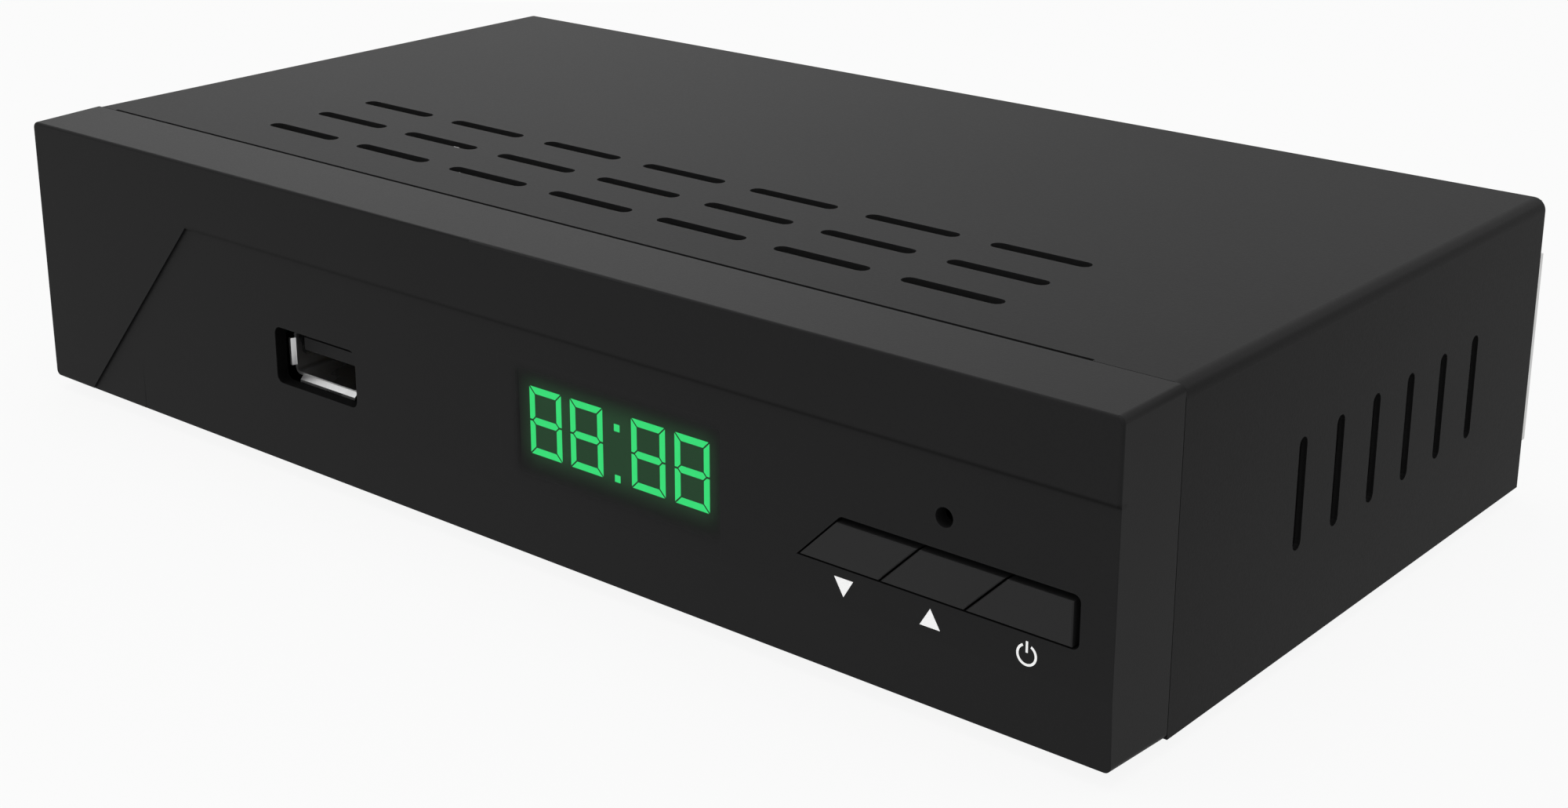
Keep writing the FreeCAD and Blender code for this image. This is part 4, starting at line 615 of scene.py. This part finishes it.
dressedWith = {
    "zincScrew": ("front_board_screws", "board_screws", "rear_screws"),
    "brightSteel": ("usb_shell", "hdmi_shell"),
    "tinnedSteel": ("tuner_can", "crystal"),
    "nickelPlate": ("lnb_socket", "lnb_nut", "audio_ring", "dc_pin"),
    "goldContact": ("usb_contacts", "link_pins", "scart_contacts"),
    "turnedBrass": ("board_standoffs",),
    "satinAluminium": ("heatsink",),
    "socketPlastic": ("tact_switches", "link_strip", "scart_socket", "hdmi_tongue", "dc_jack"),
    "tonguePlastic": ("usb_tongue",),
    "whiteInsulator": ("lnb_insulator",),
    "orangePlastic": ("audio_jack",),
    "chipBody": ("main_processor", "memory_chips"),
    "canSleeve": ("capacitors",),
    "coilFerrite": ("inductors",),
    "footRubber": ("rubber_feet",),
    "eyePlastic": ("ir_receiver",),
    "boardLacquer": ("main_board", "front_board"),
}
hardwareMaterials = {}
for finishName, finishLook in hardware.items():
    hardwareMaterials[finishName] = makeFinish(finishName, finishLook)
    dress(hardwareMaterials[finishName], *dressedWith[finishName])
print("hardware dressed:", len(hardware), "finishes")


sharpAngle = math.radians(32)
weldDistance = 1e-6


def settle(name, bm, material, slotName, *replaced, smooth=True):
    bmesh.ops.recalc_face_normals(bm, faces=bm.faces)
    mesh = bpy.data.meshes.new(name)
    bm.to_mesh(mesh)
    bm.free()
    if smooth:
        mesh.shade_smooth()
        mesh.set_sharp_from_angle(angle=sharpAngle)
    mesh.materials.append(material)
    piece = addObject(name, mesh)
    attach(piece, "case")
    if replaced:
        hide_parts(*replaced)


def skin(bm, rings, closed=False):
    pairs = list(zip(rings, rings[1:]))
    if closed:
        pairs.append((rings[-1], rings[0]))
    for low, high in pairs:
        for step in range(len(low)):
            after = (step + 1) % len(low)
            bm.faces.new((low[step], low[after], high[after], high[step]))
    if not closed:
        bm.faces.new(rings[0])
        bm.faces.new(rings[-1])


def turned(bm, rows, steps, place, closed=False):
    rings = []
    for along, radius in rows:   # radius is a number, or a function of the angle
        loop = []
        for step in range(steps):
            angle = 2 * math.pi * step / steps
            reach = radius(angle) if callable(radius) else radius
            loop.append(bm.verts.new(place(angle, reach, along)))
        rings.append(loop)
    skin(bm, rings, closed)


def upright(centreX, centreY):
    return lambda angle, radius, along: (
        centreX + radius * math.cos(angle), centreY + radius * math.sin(angle), along)


def pointingBack(centreX, centreZ):
    return lambda angle, radius, along: (
        centreX + radius * math.cos(angle), along, centreZ - radius * math.sin(angle))


def lumps(name):   # the separate solids of one node, each as its low and high corner
    bm = bmesh.new()
    bm.from_mesh(parts[name].data)
    bmesh.ops.remove_doubles(bm, verts=bm.verts, dist=weldDistance)
    waiting = set(bm.verts)
    boxes = []
    while waiting:
        start = waiting.pop()
        found, front = [start], [start]
        while front:
            vert = front.pop()
            for edge in vert.link_edges:
                other = edge.other_vert(vert)
                if other in waiting:
                    waiting.discard(other)
                    found.append(other)
                    front.append(other)
        low = Vector([min(v.co[axis] for v in found) for axis in range(3)])
        high = Vector([max(v.co[axis] for v in found) for axis in range(3)])
        boxes.append((low, high))
    bm.free()
    return sorted(boxes, key=lambda box: tuple(round(value, 5) for value in box[0]))


threadForm = {"flankSlope": 1.35, "rowsPerTurn": 8, "endShare": 0.15}


def ridge(turns):
    share = turns - math.floor(turns)
    return min(1.0, threadForm["flankSlope"] * (1.0 - abs(2.0 * share - 1.0)))


def threaded(low, high, root, crest, pitch):
    def winding(along, fade):
        return lambda angle: root + (crest - root) * fade * ridge(
            (along - low) / pitch - angle / (2 * math.pi))

    rows = []
    count = int((high - low) / (pitch / threadForm["rowsPerTurn"]))
    for index in range(count + 1):
        along = low + (high - low) * index / count
        fade = min(1.0, (along - low) / pitch + threadForm["endShare"],
                   (high - along) / pitch + threadForm["endShare"])
        rows.append((along, winding(along, fade)))
    return rows


aerialSocket = {"shoulder": 0.0056, "shank": 0.00456, "crest": 0.00476, "root": 0.00432,
                "pitch": 0.000794, "bore": 0.00322, "neck": 0.0040, "lip": 0.0004,
                "chamfer": 0.0003, "afterNut": 0.0003, "runIn": 0.0001, "mouthRound": 0.0002,
                "steps": 48}


def makeAerialSocket(look):
    low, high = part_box("lnb_socket")
    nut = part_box("lnb_nut")
    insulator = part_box("lnb_insulator")
    place = pointingBack((low[0] + high[0]) / 2, (low[2] + high[2]) / 2)
    base, end = low[1], high[1]
    threadLow = nut[1][1] + look["afterNut"]
    rows = [(base, look["shoulder"] - look["chamfer"]), (base + look["chamfer"], look["shoulder"]),
            (base + look["neck"], look["shoulder"]), (base + look["neck"], look["shank"]),
            (threadLow, look["shank"])]
    rows += threaded(threadLow + look["runIn"], end - look["lip"],
                     look["root"], look["crest"], look["pitch"])
    rows += [(end, look["root"] - look["runIn"]), (end, look["bore"] + look["mouthRound"]),
             (end - look["mouthRound"], look["bore"]), (insulator[0][1], look["bore"])]
    bm = bmesh.new()
    turned(bm, rows, look["steps"], place)
    settle("aerialBarrel", bm, hardwareMaterials["nickelPlate"], "nickel", "lnb_socket")


aerialNut = {"flats": 0.00635, "shoulderRound": 0.0066, "bore": 0.00461, "bevel": 0.0004,
             "mouthRound": 0.0002, "steps": 96}


def makeAerialNut(look):
    low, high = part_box("lnb_nut")
    place = pointingBack((low[0] + high[0]) / 2, (low[2] + high[2]) / 2)

    def sixSided(angle):
        return look["flats"] / math.cos(angle % (math.pi / 3) - math.pi / 6)

    def rounded(angle):
        return min(sixSided(angle), look["shoulderRound"])

    base, end = low[1], high[1]
    bore, mouthRound = look["bore"], look["mouthRound"]
    rows = [(base, rounded), (base + look["bevel"], sixSided), (end - look["bevel"], sixSided),
            (end, rounded), (end, bore + mouthRound), (end - mouthRound, bore),
            (base + mouthRound, bore), (base, bore + mouthRound)]
    bm = bmesh.new()
    turned(bm, rows, look["steps"], place, closed=True)
    settle("aerialNut", bm, hardwareMaterials["nickelPlate"], "nickel", "lnb_nut")


makeAerialSocket(aerialSocket)
makeAerialNut(aerialNut)
print("aerial socket threaded")

crossScrew = {
    "head": 0.0028, "headHigh": 0.0018, "shank": 0.00120, "root": 0.00094, "pitch": 0.0005,
    "tip": 0.0003, "tipLong": 0.0008, "threadFrom": 0.0009, "runIn": 0.0001, "steps": 32,
    "dome": ((0.5, 0.985), (0.78, 0.87), (0.92, 0.68), (1.0, 0.42)),   # shares of height, radius
    "slotLong": 0.0015, "slotWide": 0.00032, "slotDeep": 0.0011,
    "slotTop": 1.2, "slotSpread": 0.45, "firstTurn": 17, "nextTurn": 53,
}


def crossPrism(look, depth, spread):
    long, wide = look["slotLong"] * spread, look["slotWide"]
    return [(x, y, depth) for x, y in (
        (long, wide), (wide, wide), (wide, long), (-wide, long), (-wide, wide), (-long, wide),
        (-long, -wide), (-wide, -wide), (-wide, -long), (wide, -long), (wide, -wide),
        (long, -wide))]


def makeScrewBody(look, length):
    body = bmesh.new()
    head, high, root, runIn = look["head"], look["headHigh"], look["root"], look["runIn"]
    rows = [(-length, look["tip"]), (-length + look["tipLong"], root)]
    rows += threaded(-length + look["threadFrom"], -runIn, root, look["shank"], look["pitch"])
    rows += [(0.0, root), (0.0, head - runIn), (runIn, head)]
    rows += [(up * high, head * out) for up, out in look["dome"]]
    turned(body, rows, look["steps"], upright(0.0, 0.0))
    bmesh.ops.recalc_face_normals(body, faces=body.faces)
    return body


def makeScrewCross(look):
    cutter = bmesh.new()
    high = look["headHigh"]
    top = [cutter.verts.new(spot) for spot in crossPrism(look, high * look["slotTop"], 1.0)]
    low = [cutter.verts.new(spot)
           for spot in crossPrism(look, high - look["slotDeep"], look["slotSpread"])]
    cutter.faces.new(top)
    cutter.faces.new(low[::-1])
    for index in range(len(top)):
        after = (index + 1) % len(top)
        cutter.faces.new((top[index], low[index], low[after], top[after]))
    bmesh.ops.recalc_face_normals(cutter, faces=cutter.faces)
    return cutter


def makeScrewMesh(look, length):
    made = []
    for label, bm in (("screwBody", makeScrewBody(look, length)),
                      ("screwCross", makeScrewCross(look))):
        mesh = bpy.data.meshes.new(label)
        bm.to_mesh(mesh)
        bm.free()
        made.append(addObject(label, mesh))
    cut = made[0].modifiers.new("cross", "BOOLEAN")
    cut.operation = "DIFFERENCE"
    cut.solver = "EXACT"
    cut.object = made[1]
    bpy.context.view_layer.update()
    graph = bpy.context.evaluated_depsgraph_get()
    result = bpy.data.meshes.new_from_object(made[0].evaluated_get(graph))
    for item in made:
        bpy.data.objects.remove(item)
    return result


def makeScrews(name, node, facing, look):
    boxes = lumps(node)
    length = (boxes[0][1] - boxes[0][0])["XYZ".index(facing)] - look["headHigh"]
    pattern = makeScrewMesh(look, length)
    bm = bmesh.new()
    for index, (low, high) in enumerate(boxes):
        middle = (low + high) / 2
        turn = math.radians(look["firstTurn"] + look["nextTurn"] * index)   # no two alike
        first = len(bm.verts)
        bm.from_mesh(pattern)
        bm.verts.ensure_lookup_table()
        for vert in bm.verts[first:]:
            x = vert.co.x * math.cos(turn) - vert.co.y * math.sin(turn)
            y = vert.co.x * math.sin(turn) + vert.co.y * math.cos(turn)
            if facing == "Z":
                vert.co = (middle.x + x, middle.y + y, high.z - look["headHigh"] + vert.co.z)
            else:
                vert.co = (middle.x + x, high.y - look["headHigh"] + vert.co.z, middle.z - y)
    bpy.data.meshes.remove(pattern)
    settle(name, bm, hardwareMaterials["zincScrew"], "zinc_screw", node)


makeScrews("rearScrewsCrossed", "rear_screws", "Y", crossScrew)
makeScrews("boardScrewsCrossed", "board_screws", "Z", crossScrew)
makeScrews("frontBoardScrewsCrossed", "front_board_screws", "Y", crossScrew)
print("screws turned and crossed")

feetRubber = {
    "radius": 0.0050, "topRound": (0.0002, 0.0003), "steps": 48,
    "sole": (   # height, share of the radius
        (0.0007, 1.0), (0.0002, 0.96), (0.0, 0.90), (0.0, 0.66), (0.0002, 0.62), (0.0004, 0.54),
        (0.0004, 0.2)),
}


def makeFeet(look):
    bm = bmesh.new()
    radius = look["radius"]
    down, inward = look["topRound"]
    for low, high in lumps("rubber_feet"):
        middle = (low + high) / 2
        rows = [(high.z, radius - inward), (high.z - down, radius)]
        rows += [(height, radius * share) for height, share in look["sole"]]
        turned(bm, rows, look["steps"], upright(middle.x, middle.y))
    settle("dishedFeet", bm, hardwareMaterials["footRubber"], "foot_rubber", "rubber_feet")


makeFeet(feetRubber)
print("feet dished")

sleevedCans = {
    "steps": 40,
    "crimp": (   # height above the base, radius
        (0.0, 0.0036), (0.0002, 0.0039), (0.0015, 0.00395), (0.0019, 0.0037), (0.0022, 0.0036),
        (0.0025, 0.0037), (0.0029, 0.0040)),
    "shoulder": (   # depth under the top, radius
        (0.0005, 0.0040), (0.0001, 0.0037), (0.0, 0.0033), (0.00005, 0.0030)),
    "lid": (
        (0.0003, 0.0029), (0.00008, 0.0029), (0.00002, 0.0027), (0.00010, 0.0023),
        (0.00010, 0.0004)),
}


def makeCans(look):
    sleeves, tops = bmesh.new(), bmesh.new()
    for low, high in lumps("capacitors"):
        middle = (low + high) / 2
        place = upright(middle.x, middle.y)
        sleeve = [(low.z + up, radius) for up, radius in look["crimp"]]
        sleeve += [(high.z - down, radius) for down, radius in look["shoulder"]]
        turned(sleeves, sleeve, look["steps"], place)
        lid = [(high.z - down, radius) for down, radius in look["lid"]]
        turned(tops, lid, look["steps"], place)
    settle("sleevedCans", sleeves, hardwareMaterials["canSleeve"], "can_sleeve", "capacitors")
    settle("canTops", tops, hardwareMaterials["satinAluminium"], "dull_aluminium")


makeCans(sleevedCans)

woundCoils = {
    "steps": 48, "cornerCut": 1.27, "flangeHigh": 0.22,
    "waist": ((0.24, 0.70), (0.76, 0.70), (0.78, 0.97)),   # shares of height and half width
    "capRound": 0.0002, "capShares": (0.97, 0.92, 0.2),
    "wireFrom": 0.25, "wireTo": 0.75, "wireInner": 0.71, "wireRoot": 0.84, "wireCrest": 0.90,
    "wireRunIn": 0.00002, "wire": 0.00035,
}
copperWire = dict(
    galvanised, colour=(0.45, 0.16, 0.06), second=(0.60, 0.24, 0.10), spangleSize=0.001,
    spangleShare=0.1, spangleColour=(0.7, 0.35, 0.18), roughness=(0.25, 0.38))


def cutSquare(half, cornerCut):
    return lambda angle: half * min(
        1.0 / max(abs(math.cos(angle)), abs(math.sin(angle))), cornerCut)


def makeCoils(look):
    cores, windings = bmesh.new(), bmesh.new()
    for low, high in lumps("inductors"):
        middle = (low + high) / 2
        place = upright(middle.x, middle.y)
        half = (high.x - low.x) / 2
        base, top = low.z, high.z
        tall = top - base
        flange = cutSquare(half, look["cornerCut"])
        rim, edge, centre = [half * share for share in look["capShares"]]
        rows = [(base, flange), (base + look["flangeHigh"] * tall, flange)]
        rows += [(base + up * tall, half * out) for up, out in look["waist"]]
        rows += [(top - look["capRound"], rim), (top, edge), (top, centre)]
        turned(cores, rows, look["steps"], place)
        start, end = base + look["wireFrom"] * tall, base + look["wireTo"] * tall
        inner, runIn = half * look["wireInner"], look["wireRunIn"]
        wire = [(start, inner)]
        wire += threaded(start + runIn, end - runIn, half * look["wireRoot"],
                         half * look["wireCrest"], look["wire"])
        wire += [(end, inner)]
        turned(windings, wire, look["steps"], place, closed=True)
    settle("coilCores", cores, hardwareMaterials["coilFerrite"], "coil_grey", "inductors")
    settle("coilWindings", windings, makeFinish("copperWire", copperWire), "gold_contact")


makeCoils(woundCoils)

chipLegs = {"pitch": 0.0008, "halfWide": 0.00015, "thick": 0.00012, "reach": 0.0009,
            "shoulder": 0.55, "rim": 0.0007, "tuck": 0.0001, "knee": 0.3, "ankle": 0.6,
            "squareWithin": 0.001}


def makeLeg(bm, middle, facing, line, beside, look):
    outX, outY = facing
    rings = []
    for away, height in line:
        ring = []
        for side, rise in ((-1, -1), (1, -1), (1, 1), (-1, 1)):
            across = beside + side * look["halfWide"]
            ring.append(bm.verts.new((middle.x + outX * away + abs(outY) * across,
                                      middle.y + outY * away + abs(outX) * across,
                                      height + rise * look["thick"] / 2)))
        rings.append(ring)
    skin(bm, rings)


def makeLegs(name, node, look):
    bm = bmesh.new()
    for low, high in lumps(node):
        middle = (low + high) / 2
        wide, deep, tall = high.x - low.x, high.y - low.y, high.z - low.z
        shoulder = low.z + tall * look["shoulder"]
        sole = low.z + look["thick"] / 2
        facings = [(1, 0), (-1, 0), (0, 1), (0, -1)]
        if abs(wide - deep) > look["squareWithin"]:   # an oblong chip has legs on its long sides
            facings = facings[:2] if wide < deep else facings[2:]
        for facing in facings:
            edge, run = (wide / 2, deep) if facing[0] else (deep / 2, wide)
            count = int((run - 2 * look["rim"]) / look["pitch"])
            line = [(edge - look["tuck"], shoulder),
                    (edge + look["knee"] * look["reach"], shoulder),
                    (edge + look["ankle"] * look["reach"], sole), (edge + look["reach"], sole)]
            for index in range(count):
                beside = (index - (count - 1) / 2) * look["pitch"]
                makeLeg(bm, middle, facing, line, beside, look)
    settle(name, bm, hardwareMaterials["tinnedSteel"], "tinned_steel", smooth=False)


makeLegs("processorLegs", "main_processor", chipLegs)
makeLegs("memoryLegs", "memory_chips", chipLegs)
print("board parts made: cans, coils, chip legs")


frontMarks = {
    "plane": -0.05175, "thickness": 0.00004, "sunk": 0.00002,
    "downArrow": ((0.05192, 0.01253), (0.05432, 0.01253), (0.05312, 0.01054)),
    "upArrow": ((0.06263, 0.01057), (0.06507, 0.01057), (0.06385, 0.01257)),
    "powerCentre": (0.07517, 0.01133), "ringOuter": 0.00117, "ringInner": 0.00092,
    "gapAngle": 27, "barHalf": 0.00012, "barLow": 0.00023, "barHigh": 0.00141, "steps": 40,
}
whiteInk = dict(frontMoulding, colour=(0.97, 0.97, 0.97), second=(1.0, 1.0, 1.0),
                edgeColour=(1.0, 1.0, 1.0), specular=0.5)
# painted light: the white marks glow a little, though they are only paint
inkPaintedGlow = {"Emission Color": fullWhite, "Emission Strength": 0.24}


def makePrint(name, outlines, material, look):
    bm = bmesh.new()
    planes = (look["plane"] - look["thickness"], look["plane"] + look["sunk"])
    for outline in outlines:
        skin(bm, [[bm.verts.new((x, plane, z)) for x, z in outline] for plane in planes])
    settle(name, bm, material, "black_plastic", smooth=False)


def ringStrip(look):
    centreX, centreZ = look["powerCentre"]
    start, stop, steps = look["gapAngle"], 360 - look["gapAngle"], look["steps"]
    outline = []
    for radius, order in ((look["ringOuter"], range(steps + 1)),
                          (look["ringInner"], range(steps, -1, -1))):
        for step in order:
            angle = math.radians(start + (stop - start) * step / steps)
            outline.append((centreX + radius * math.sin(angle),
                            centreZ + radius * math.cos(angle)))
    return outline


def bar(look):
    centreX, centreZ = look["powerCentre"]
    left, right = centreX - look["barHalf"], centreX + look["barHalf"]
    low, high = centreZ + look["barLow"], centreZ + look["barHigh"]
    return [(left, low), (right, low), (right, high), (left, high)]


markInk = makeFinish("markInk", whiteInk)
setSockets(markInk.node_tree.nodes["Principled BSDF"], inkPaintedGlow)
makePrint("downMark", [frontMarks["downArrow"]], markInk, frontMarks)
makePrint("upMark", [frontMarks["upArrow"]], markInk, frontMarks)
makePrint("powerMark", [ringStrip(frontMarks), bar(frontMarks)], markInk, frontMarks)
print("marks printed on the front")
